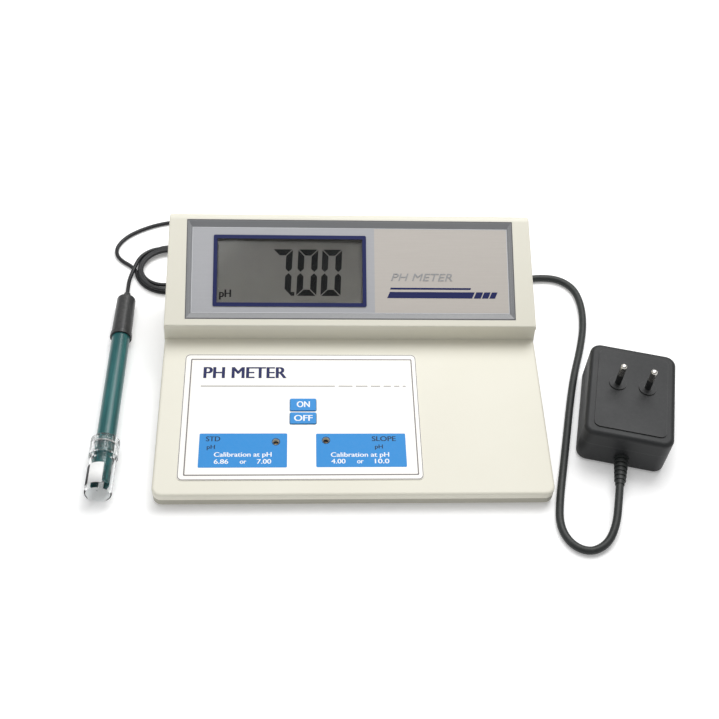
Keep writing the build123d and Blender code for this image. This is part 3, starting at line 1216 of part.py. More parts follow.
def rectifier_board():
    """Small board with the rectifier diodes."""
    board = Box(RECTIFIER_WIDTH, RECTIFIER_DEPTH, BOARD_THICKNESS, align=ON_BOTTOM)
    for index in range(4):
        diode = Rot(90, 0, 0) * Cylinder(1.3, 5)
        board += Pos(4.5 * index - 4, 0, BOARD_THICKNESS + 1.1) * diode
    return ADAPTOR * Pos(0, RECTIFIER_Y, RECTIFIER_Z) * board


def adaptor_relief():
    """Ribbed strain relief, clipped in the adaptor's end wall."""
    relief = Cylinder(RELIEF_NECK, ADAPTOR_WALL, align=HANGING)
    relief += Pos(0, 0, -ADAPTOR_WALL) * Cylinder(RELIEF_RADIUS, RELIEF_FLANGE, align=HANGING)
    relief += Cone(RELIEF_RADIUS - 1.0, RELIEF_TIP_RADIUS, RELIEF_LENGTH, align=ON_BOTTOM)
    for index in range(RELIEF_RINGS):
        at = index * RELIEF_LENGTH / (RELIEF_RINGS + 0.5)
        radius = RELIEF_RADIUS - (RELIEF_RADIUS - RELIEF_TIP_RADIUS - 0.4) * at / RELIEF_LENGTH
        relief += Pos(0, 0, at) * Cylinder(radius, 1.6, align=ON_BOTTOM)
    return RELIEF * relief


# ---------------------------------------------------------------- cables
def corner_radii(points):
    """Arc for each corner: 0.45 of the shorter run over the tangent of half the turn."""
    vectors = [Vector(*point) for point in points]
    radii = []
    for before, corner, after in zip(vectors, vectors[1:], vectors[2:]):
        run_in = corner - before
        run_out = after - corner
        half_turn = math.radians(run_in.get_angle(run_out)) / 2
        radii.append(0.45 * min(run_in.length, run_out.length) / math.tan(half_turn))
    return radii


def tube_along(points, diameter, radii):
    """Round tube along straight runs joined by tangent arcs."""
    path = FilletPolyline(*points, radius=radii)
    start = Plane(origin=path @ 0, z_dir=path % 0)
    return sweep(start * Circle(diameter / 2), path)


def beside(points, side):
    """Points of a route moved with the case's left (-1) or right (1) side and its back."""
    return [(x + side * SIDE_SHIFT, y + BACK_SHIFT, z) for x, y, z in points]


def cable_tube(name, points, diameter):
    """Free cable's tube; prints its radii, its length and how full its volume is."""
    radii = corner_radii(points)
    solid = tube_along(points, diameter, radii)
    length = FilletPolyline(*points, radius=radii).length
    section = math.pi * diameter**2 / 4
    print(name, "radii", [round(r, 1) for r in radii])
    print(name, "length", round(length, 1), "volume ratio", round(solid.volume / (section * length), 4))
    return solid


def coil_solid(centre, side, outer, inner, height):
    """Closed outer form of a coil that lies on the table behind the case's left or right end."""
    ring = Cylinder(outer, height, align=ON_BOTTOM) - Cylinder(inner, 3 * height)
    ring = fillet(ring.edges().filter_by(GeomType.CIRCLE), height / 4)
    return Pos(centre[0] + side * SIDE_SHIFT, centre[1] + BACK_SHIFT, 0.05) * ring


# ---------------------------------------------------------------- nodes
def nodes():
    """Every node of the object by name: a solid, or a list of identical solids."""
    shell = case_shell()
    return {
        "bottom_shell": bottom_shell(shell),
        "top_shell": top_shell(shell),
        "rubber_feet": rubber_feet(),
        "case_screws": case_screws(),
        "fascia_bezel": fascia_bezel(),
        "fascia_plate": fascia_plate(),
        "window_frame": window_frame(),
        "display_window": display_window(),
        "lcd_cell": lcd_cell(),
        "contact_strips": contact_strips(),
        "display_board": display_board(),
        "keypad_overlay": keypad_overlay(),
        "on_key": key_cap(ON_KEY_START, ON_KEY_LENGTH),
        "off_key": key_cap(OFF_KEY_START, OFF_KEY_LENGTH),
        "key_switches": key_switches(),
        "key_board": key_board(),
        "trimmer_bodies": trimmer_bodies(),
        "std_rotor": trimmer_rotor(STD_X, STD_START),
        "slope_rotor": trimmer_rotor(SLOPE_X, SLOPE_START),
        "main_board": main_board(),
        "board_screws": board_screws(),
        "amplifier_chip": amplifier_chip(),
        "converter_chip": converter_chip(),
        "smoothing_capacitors": smoothing_capacitors(),
        "ribbon_cable": ribbon_cable(),
        "input_lead": input_lead(),
        "rear_panel": rear_panel(),
        "rear_panel_screws": rear_panel_screws(),
        "socket_barrel": socket_barrel(),
        "socket_nut": socket_nut(),
        "socket_insulator": socket_insulator(),
        "socket_contact": socket_contact(),
        "power_jack": power_jack(),
        "plug_locking_ring": locking_ring(),
        "plug_body": plug_body(),
        "plug_insulator": plug_insulator(),
        "plug_pin": plug_pin(),
        "plug_boot": plug_boot(),
        "electrode_cable": cable_tube("electrode_cable", beside(ELECTRODE_CABLE_ROUTE, -1), CABLE_DIAMETER),
        "electrode_cable_coil": coil_solid(
            ELECTRODE_COIL_CENTRE, -1, ELECTRODE_COIL_OUTER, ELECTRODE_COIL_INNER, ELECTRODE_COIL_HEIGHT
        ),
        "electrode_cable_end": cable_tube(
            "electrode_cable_end", beside(ELECTRODE_END_ROUTE, -1), CABLE_DIAMETER
        ),
        "electrode_head": electrode_head(),
        "electrode_tube": electrode_tube(),
        "glass_stem": glass_stem(),
        "storage_bottle": storage_bottle(),
        "bottle_cap": bottle_cap(),
        "bottle_seal": bottle_seal(),
        "power_plug": power_plug(),
        "power_cord_start": cable_tube("power_cord_start", beside(CORD_START_ROUTE, 1), CORD_DIAMETER),
        "power_cord_coil": coil_solid(
            CORD_COIL_CENTRE, 1, CORD_COIL_OUTER, CORD_COIL_INNER, CORD_COIL_HEIGHT
        ),
        "power_cord": cable_tube("power_cord", beside(CORD_ROUTE, 1), CORD_DIAMETER),
        "adaptor_relief": adaptor_relief(),
        "adaptor_back_shell": adaptor_back_shell(),
        "adaptor_front_shell": adaptor_front_shell(),
        "adaptor_screws": adaptor_screws(),
        "adaptor_pins": adaptor_pins(),
        "pin_sleeves": pin_sleeves(),
        "transformer_core": transformer_core(),
        "transformer_winding": transformer_winding(),
        "rectifier_board": rectifier_board(),
    }


os.makedirs("parts", exist_ok=True)
for name, shape in nodes().items():
    solids = shape if isinstance(shape, list) else [shape]
    moved = [IN_FRAME * solid for solid in solids]
    export_step(Compound(children=moved) if len(moved) > 1 else moved[0], f"parts/{name}.step")
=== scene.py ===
"""Looks of a benchtop pH meter: case, display head, keypad, electrode, cables and adaptor."""

import json
import math

import bpy
from mathutils import Matrix, Vector


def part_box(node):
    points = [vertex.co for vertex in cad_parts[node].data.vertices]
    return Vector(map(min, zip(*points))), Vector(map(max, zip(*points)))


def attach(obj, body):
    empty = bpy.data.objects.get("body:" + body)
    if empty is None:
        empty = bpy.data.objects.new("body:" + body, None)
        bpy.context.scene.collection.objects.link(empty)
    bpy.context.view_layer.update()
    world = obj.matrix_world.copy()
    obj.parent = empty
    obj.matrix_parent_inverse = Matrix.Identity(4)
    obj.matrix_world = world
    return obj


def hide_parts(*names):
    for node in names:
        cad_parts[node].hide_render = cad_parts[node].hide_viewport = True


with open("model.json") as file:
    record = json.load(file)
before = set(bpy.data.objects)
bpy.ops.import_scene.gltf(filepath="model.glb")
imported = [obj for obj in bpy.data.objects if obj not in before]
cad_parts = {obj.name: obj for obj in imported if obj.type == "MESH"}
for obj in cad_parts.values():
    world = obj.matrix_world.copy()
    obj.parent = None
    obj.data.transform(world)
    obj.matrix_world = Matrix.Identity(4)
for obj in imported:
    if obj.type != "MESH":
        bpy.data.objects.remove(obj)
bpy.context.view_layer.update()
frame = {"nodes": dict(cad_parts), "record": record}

MM = 0.001
CASE_LOW, CASE_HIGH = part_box("top_shell")
CASE_X = (CASE_LOW.x + CASE_HIGH.x) / 2
FRONT_Y = CASE_LOW.y
FRONT_HEIGHT = 13 * MM
DECK_SLOPE = math.radians(5)
DECK_LENGTH = 115 * MM
HEAD_STEP = 15 * MM
HEAD_OVERHANG = 1.5 * MM
FACE_SLOPE = math.radians(27)
OVERLAY_TOP = 0.5 * MM
KEY_TOP = 0.9 * MM + OVERLAY_TOP
PLATE_TOP = -2.2 * MM
LCD_TOP = -4.6 * MM
PRINT = 0.05 * MM                # thickness of a printed layer
SINK = 0.02 * MM                 # how far a printed layer sinks in what carries it
RAISED = 0.12 * MM               # thickness of raised lettering
LETTER_CAPITAL = 0.69            # height of a capital in the typeface, per unit of its size

PLATE_SEAM = 15.5 * MM           # where the plate's two greys meet, right of the case's middle
PLATE_SLANT = 0.45               # lean of the bar and the lines on the plate, in widths per height
PLATE_BAR_HEIGHT = 4.2
PLATE_BAR_Y = 21.8
DIGIT_SLANT = 0.045
TITLE_RULE_HEIGHT = 0.6
TITLE_RULE_Y = 77.5
STD_HOLE = (-48.6, 36.5)         # trimmer holes on the deck, in millimetres
SLOPE_HOLE = (-17.5, 37.5)
HOLE_CLEAR = 2.05                # radius of the print's cut-out over a trimmer hole
RING_INNER = 2.15
RING_OUTER = 2.6

CAMERA_PLACE = (-0.01316, -0.42755, 0.55863)
CAMERA_ELEVATION = math.radians(50.99)
CAMERA_YAW = math.radians(5.135)
CAMERA_ROLL = math.radians(4.122)
CAMERA_LENS = 52.62
CAMERA_SENSOR = 36
WORLD_STRENGTH = 0.36
FLOOR_SIDE = 6.0

DECK = (
    Matrix.Translation((CASE_X, FRONT_Y, FRONT_HEIGHT))
    @ Matrix.Rotation(DECK_SLOPE, 4, "X")
)
LIP = Vector(
    (
        CASE_X,
        FRONT_Y + DECK_LENGTH * math.cos(DECK_SLOPE) - HEAD_OVERHANG,
        FRONT_HEIGHT + DECK_LENGTH * math.sin(DECK_SLOPE) + HEAD_STEP,
    )
)
FACE = Matrix.Translation(LIP) @ Matrix.Rotation(FACE_SLOPE, 4, "X")


# ---------------------------------------------------------------- camera and light
def place_camera():
    """Camera above the front of the case, turned and rolled a few degrees."""
    elevation, yaw, roll = CAMERA_ELEVATION, CAMERA_YAW, CAMERA_ROLL
    view = Vector(
        (
            math.sin(yaw) * math.cos(elevation),
            math.cos(yaw) * math.cos(elevation),
            -math.sin(elevation),
        )
    )
    level = Vector((math.cos(yaw), -math.sin(yaw), 0))
    upright = level.cross(view)
    right = level * math.cos(roll) + upright * math.sin(roll)
    up = upright * math.cos(roll) - level * math.sin(roll)
    camera = bpy.data.objects.new("camera", bpy.data.cameras.new("camera"))
    camera.data.lens = CAMERA_LENS
    camera.data.sensor_width = CAMERA_SENSOR
    camera.data.clip_start = 0.01
    turn = Matrix((right, up, -view)).transposed().to_4x4()
    camera.matrix_world = Matrix.Translation(CAMERA_PLACE) @ turn
    bpy.context.scene.collection.objects.link(camera)
    bpy.context.scene.camera = camera


def place_lights():
    """Soft studio light: lamps over the head and the deck, a weak fill, and a pale world."""
    lamps = (
        ("key_light", (0.35, 0.6, 1.2), 0.8, 12),
        ("top_light", (-0.3, 0.3, 1.5), 0.9, 7),
        ("fill_light", (-0.9, -0.5, 0.8), 1.0, 0.9),
    )
    for name, place, size, power in lamps:
        lamp = bpy.data.lights.new(name, "AREA")
        lamp.shape = "SQUARE"
        lamp.size = size
        lamp.energy = power
        holder = bpy.data.objects.new(name, lamp)
        holder.location = place
        holder.rotation_euler = (-Vector(place)).to_track_quat("-Z", "Y").to_euler()
        bpy.context.scene.collection.objects.link(holder)
    world = bpy.data.worlds.new("studio")
    world.use_nodes = True
    background = world.node_tree.nodes["Background"]
    background.inputs["Color"].default_value = (1, 1, 1, 1)
    background.inputs["Strength"].default_value = WORLD_STRENGTH
    bpy.context.scene.world = world
    bpy.context.scene.view_settings.view_transform = "Standard"


# ---------------------------------------------------------------- shader groups
def new_group(name, inputs, outputs):
    """Shader group with float inputs (name, value) and outputs (name, socket type)."""
    tree = bpy.data.node_groups.new(name, "ShaderNodeTree")
    for label, value in inputs:
        socket = tree.interface.new_socket(label, in_out="INPUT", socket_type="NodeSocketFloat")
        socket.default_value = value
    for label, kind in outputs:
        tree.interface.new_socket(label, in_out="OUTPUT", socket_type=kind)
    return tree, tree.nodes.new("NodeGroupInput"), tree.nodes.new("NodeGroupOutput")


def math_node(tree, operation, first, second=None, clamp=False):
    """Math node with links or numbers as inputs; returns its output."""
    node = tree.nodes.new("ShaderNodeMath")
    node.operation = operation
    node.use_clamp = clamp
    for socket, value in zip(node.inputs, (first, second)):
        if value is None:
            continue
        if isinstance(value, (int, float)):
            socket.default_value = value
        else:
            tree.links.new(value, socket)
    return node.outputs[0]


def noise_node(tree, vector, scale, detail=2.0, roughness=0.5):
    """Noise texture; scale is a number or a link. Returns its factor."""
    node = tree.nodes.new("ShaderNodeTexNoise")
    tree.links.new(vector, node.inputs["Vector"])
    if isinstance(scale, (int, float)):
        node.inputs["Scale"].default_value = scale
    else:
        tree.links.new(scale, node.inputs["Scale"])
    node.inputs["Detail"].default_value = detail
    node.inputs["Roughness"].default_value = roughness
    return node.outputs["Fac"]


def moulded_grain_group():
    """Fine pebbled mould texture: its height, and a mask of soft large stains."""
    tree, given, result = new_group(
        "moulded_grain",
        (("Grain Scale", 1500), ("Grain Depth", 1), ("Stain Scale", 14), ("Stain Contrast", 1)),
        (("Height", "NodeSocketFloat"), ("Stain", "NodeSocketFloat")),
    )
    place = tree.nodes.new("ShaderNodeTexCoord").outputs["Object"]
    pebbles = tree.nodes.new("ShaderNodeTexVoronoi")
    tree.links.new(place, pebbles.inputs["Vector"])
    tree.links.new(given.outputs["Grain Scale"], pebbles.inputs["Scale"])
    soft = noise_node(tree, place, given.outputs["Grain Scale"], 3)
    grain = math_node(tree, "ADD", pebbles.outputs["Distance"], soft)
    tree.links.new(
        math_node(tree, "MULTIPLY", grain, given.outputs["Grain Depth"]), result.inputs["Height"]
    )
    stain = noise_node(tree, place, given.outputs["Stain Scale"], 5, 0.6)
    stain = math_node(tree, "SUBTRACT", stain, 0.5)
    stain = math_node(tree, "MULTIPLY", stain, given.outputs["Stain Contrast"])
    tree.links.new(math_node(tree, "ADD", stain, 0.5, True), result.inputs["Stain"])
    return tree


def edge_wear_group():
    """Mask of rubbed spots where the surface turns away from its neighbours, broken up by noise."""
    tree, given, result = new_group(
        "edge_wear",
        (("Radius", 0.001), ("Amount", 1), ("Break Up", 300)),
        (("Mask", "NodeSocketFloat"),),
    )
    place = tree.nodes.new("ShaderNodeTexCoord").outputs["Object"]
    bevel = tree.nodes.new("ShaderNodeBevel")
    bevel.samples = 4
    tree.links.new(given.outputs["Radius"], bevel.inputs["Radius"])
    shape = tree.nodes.new("ShaderNodeNewGeometry")
    same = tree.nodes.new("ShaderNodeVectorMath")
    same.operation = "DOT_PRODUCT"
    tree.links.new(bevel.outputs["Normal"], same.inputs[0])
    tree.links.new(shape.outputs["Normal"], same.inputs[1])
    edge = math_node(tree, "SUBTRACT", 1.0, same.outputs["Value"], True)
    edge = math_node(tree, "MULTIPLY", edge, 4.0, True)
    patches = noise_node(tree, place, given.outputs["Break Up"], 4, 0.7)
    worn = math_node(tree, "MULTIPLY", edge, patches)
    tree.links.new(
        math_node(tree, "MULTIPLY", worn, given.outputs["Amount"], True), result.inputs["Mask"]
    )
    return tree


def dust_group():
    """Mask of fine dust that settles on faces that look up."""
    tree, given, result = new_group(
        "settled_dust", (("Amount", 0.2), ("Scale", 400)), (("Mask", "NodeSocketFloat"),)
    )
    place = tree.nodes.new("ShaderNodeTexCoord").outputs["Object"]
    parts = tree.nodes.new("ShaderNodeSeparateXYZ")
    tree.links.new(tree.nodes.new("ShaderNodeNewGeometry").outputs["Normal"], parts.inputs[0])
    up = math_node(tree, "POWER", math_node(tree, "MAXIMUM", parts.outputs["Z"], 0.0), 3.0)
    specks = noise_node(tree, place, given.outputs["Scale"], 6, 0.75)
    specks = math_node(tree, "MULTIPLY", math_node(tree, "SUBTRACT", specks, 0.42), 3.0, True)
    film = noise_node(tree, place, 22, 3)
    mask = math_node(tree, "MULTIPLY", math_node(tree, "ADD", specks, film), up)
    mask = math_node(tree, "MULTIPLY", mask, given.outputs["Amount"], True)
    tree.links.new(mask, result.inputs["Mask"])
    return tree


def brushed_group():
    """Long fine scratches along X: their height and a tone."""
    tree, given, result = new_group(
        "brushed_lines", (("Across Scale", 3000), ("Depth", 1)),
        (("Height", "NodeSocketFloat"), ("Tone", "NodeSocketFloat")),
    )
    place = tree.nodes.new("ShaderNodeTexCoord").outputs["Object"]
    parts = tree.nodes.new("ShaderNodeSeparateXYZ")
    tree.links.new(place, parts.inputs[0])
    along = math_node(tree, "MULTIPLY", parts.outputs["X"], 0.02)
    stretched = tree.nodes.new("ShaderNodeCombineXYZ")
    tree.links.new(along, stretched.inputs[0])
    tree.links.new(parts.outputs["Y"], stretched.inputs[1])
    tree.links.new(parts.outputs["Z"], stretched.inputs[2])
    lines = noise_node(tree, stretched.outputs[0], given.outputs["Across Scale"], 4, 0.6)
    tree.links.new(math_node(tree, "MULTIPLY", lines, given.outputs["Depth"]), result.inputs["Height"])
    tree.links.new(lines, result.inputs["Tone"])
    return tree


GRAIN = moulded_grain_group()
WEAR = edge_wear_group()
DUST = dust_group()
BRUSHED = brushed_group()


# ---------------------------------------------------------------- materials
def place_group(tree, group, **values):
    """Puts a shader group in a material with its own values; underscores stand for spaces."""
    node = tree.nodes.new("ShaderNodeGroup")
    node.node_tree = group
    for label, value in values.items():
        node.inputs[label.replace("_", " ")].default_value = value
    return node


def mix_colours(tree, factor, first, second):
    """Mix of two colours, each a colour or a link, by a link; returns the colour."""
    node = tree.nodes.new("ShaderNodeMix")
    node.data_type = "RGBA"
    tree.links.new(factor, node.inputs[0])
    for socket, value in ((node.inputs[6], first), (node.inputs[7], second)):
        if isinstance(value, tuple):
            socket.default_value = (*value, 1)
        else:
            tree.links.new(value, socket)
    return node.outputs[2]


def map_range(tree, value, low, high):
    """Value from 0..1 to low..high."""
    node = tree.nodes.new("ShaderNodeMapRange")
    tree.links.new(value, node.inputs["Value"])
    node.inputs["To Min"].default_value = low
    node.inputs["To Max"].default_value = high
    return node.outputs[0]


def start_material(name, **sockets):
    """Material with its Principled shader's own sockets set; returns (material, tree, shader)."""
    material = bpy.data.materials.new(name)
    material.use_nodes = True
    tree = material.node_tree
    shader = tree.nodes["Principled BSDF"]
    for label, value in sockets.items():
        shader.inputs[label.replace("_", " ")].default_value = value
    return material, tree, shader


def bump(tree, shader, height, strength, distance):
    """Bump from a height link into the shader's normal."""
    node = tree.nodes.new("ShaderNodeBump")
    node.inputs["Strength"].default_value = strength
    node.inputs["Distance"].default_value = distance
    tree.links.new(height, node.inputs["Height"])
    tree.links.new(node.outputs["Normal"], shader.inputs["Normal"])


def moulded(name, colour, stained, rough=(0.42, 0.58), grain=1500, depth=0.15, contrast=1.2,
            worn=None, wear=0.5, dust=0.12, dust_colour=(0.62, 0.6, 0.55), stain=14, **sockets):
    """Moulded plastic or rubber: grain, stains, rubbed edges and dust."""
    material, tree, shader = start_material(name, **sockets)
    texture = place_group(tree, GRAIN, Grain_Scale=grain, Stain_Scale=stain, Stain_Contrast=contrast)
    tone = mix_colours(tree, texture.outputs["Stain"], colour, stained)
    edges = place_group(tree, WEAR, Amount=wear)
    tone = mix_colours(tree, edges.outputs["Mask"], tone, worn or colour)
    film = place_group(tree, DUST, Amount=dust)
    tone = mix_colours(tree, film.outputs["Mask"], tone, dust_colour)
    tree.links.new(tone, shader.inputs["Base Color"])
    tree.links.new(map_range(tree, texture.outputs["Stain"], *rough), shader.inputs["Roughness"])
    bump(tree, shader, texture.outputs["Height"], depth, 0.0001)
    return material


def metal(name, colour, dark, rough=(0.2, 0.4), lines=3000, depth=0.1, wear=0.4):
    """Brushed or turned metal with dull patches."""
    material, tree, shader = start_material(name, Metallic=1.0)
    brushed = place_group(tree, BRUSHED, Across_Scale=lines)
    texture = place_group(tree, GRAIN, Stain_Scale=60, Stain_Contrast=2.0)
    tone = mix_colours(tree, texture.outputs["Stain"], colour, dark)
    edges = place_group(tree, WEAR, Amount=wear, Radius=0.0004)
    tone = mix_colours(tree, edges.outputs["Mask"], tone, tuple(min(1, 1.15 * c) for c in colour))
    tree.links.new(tone, shader.inputs["Base Color"])
    tree.links.new(map_range(tree, brushed.outputs["Tone"], *rough), shader.inputs["Roughness"])
    bump(tree, shader, brushed.outputs["Height"], depth, 0.00005)
    return material


def clear_plastic(name, colour, rough=(0.03, 0.14), ior=1.49, weight=1.0):
    """Clear moulded plastic or glass, with faint flow marks and finger haze."""
    material, tree, shader = start_material(name, IOR=ior, Transmission_Weight=weight)
    texture = place_group(tree, GRAIN, Grain_Scale=250, Stain_Scale=90, Stain_Contrast=2.2)
    tone = mix_colours(tree, texture.outputs["Stain"], colour, tuple(0.93 * c for c in colour))
    tree.links.new(tone, shader.inputs["Base Color"])
    tree.links.new(map_range(tree, texture.outputs["Stain"], *rough), shader.inputs["Roughness"])
    bump(tree, shader, texture.outputs["Stain"], 0.12, 0.0004)
    return material


def fascia_material():
    """Satin plate printed in two greys that meet right of the display, with fine rolling lines."""
    material, tree, shader = start_material("fascia_print")
    place = tree.nodes.new("ShaderNodeTexCoord").outputs["Object"]
    parts = tree.nodes.new("ShaderNodeSeparateXYZ")
    tree.links.new(place, parts.inputs[0])
    right = math_node(tree, "GREATER_THAN", parts.outputs["X"], CASE_X + PLATE_SEAM)
    brushed = place_group(tree, BRUSHED, Across_Scale=2200)
    cool = mix_colours(tree, brushed.outputs["Tone"], (0.42, 0.425, 0.45), (0.36, 0.365, 0.385))
    warm = mix_colours(tree, brushed.outputs["Tone"], (0.53, 0.495, 0.455), (0.46, 0.425, 0.39))
    tone = mix_colours(tree, right, cool, warm)
    film = place_group(tree, DUST, Amount=0.08)
    tone = mix_colours(tree, film.outputs["Mask"], tone, (0.6, 0.58, 0.54))
    tree.links.new(tone, shader.inputs["Base Color"])
    tree.links.new(map_range(tree, brushed.outputs["Tone"], 0.3, 0.5), shader.inputs["Roughness"])
    bump(tree, shader, brushed.outputs["Height"], 0.12, 0.00006)
    return material


def display_material():
    """Grey liquid crystal glass, with painted shade that darkens it under the top of its window."""
    material, tree, shader = start_material("display_glass", Coat_Weight=0.4, Coat_Roughness=0.1)
    place = tree.nodes.new("ShaderNodeTexCoord").outputs["Object"]
    parts = tree.nodes.new("ShaderNodeSeparateXYZ")
    tree.links.new(place, parts.inputs[0])
    low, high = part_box("lcd_cell")
    # painted shade: the glass grows darker towards the top of the cell, where the window's frame would
    # shade it
    shade = tree.nodes.new("ShaderNodeMapRange")
    tree.links.new(parts.outputs["Y"], shade.inputs["Value"])
    shade.inputs["From Min"].default_value = low.y
    shade.inputs["From Max"].default_value = high.y
    tone = mix_colours(tree, shade.outputs[0], (0.19, 0.18, 0.163), (0.095, 0.088, 0.08))
    texture = place_group(tree, GRAIN, Grain_Scale=2500, Stain_Scale=40)
    cloud = map_range(tree, texture.outputs["Stain"], 0, 0.25)
    tone = mix_colours(tree, cloud, tone, (0.2, 0.19, 0.18))
    tree.links.new(tone, shader.inputs["Base Color"])
    tree.links.new(map_range(tree, texture.outputs["Stain"], 0.25, 0.4), shader.inputs["Roughness"])
    bump(tree, shader, texture.outputs["Height"], 0.05, 0.00003)
    return material


def tube_material():
    """Teal electrode tube, polished, with the darker filling seen as long streaks in it."""
    material, tree, shader = start_material(
        "tube_teal", Coat_Weight=0.3, Coat_Roughness=0.3, Specular_IOR_Level=0.5
    )
    place = tree.nodes.new("ShaderNodeTexCoord").outputs["Object"]
    stretch = tree.nodes.new("ShaderNodeMapping")
    stretch.inputs["Scale"].default_value = (1, 0.04, 1)
    tree.links.new(place, stretch.inputs["Vector"])
    streaks = noise_node(tree, stretch.outputs[0], 420, 3, 0.6)
    streaks = math_node(tree, "MULTIPLY", math_node(tree, "SUBTRACT", streaks, 0.35), 2.6, True)
    tone = mix_colours(tree, streaks, (0.003, 0.07, 0.075), (0.015, 0.15, 0.15))
    tree.links.new(tone, shader.inputs["Base Color"])
    tree.links.new(map_range(tree, streaks, 0.3, 0.42), shader.inputs["Roughness"])
    bump(tree, shader, streaks, 0.08, 0.0003)
    return material


IVORY = (0.785, 0.765, 0.665)
NAVY = (0.01, 0.014, 0.085)
NAVY_STAINED = (0.014, 0.02, 0.1)
KEY_BLUE = (0.03, 0.26, 0.66)
KEY_BLUE_STAINED = (0.035, 0.285, 0.69)
BLACK = (0.01, 0.011, 0.012)
PRINTED = {"rough": (0.4, 0.55), "grain": 3200, "depth": 0.06}

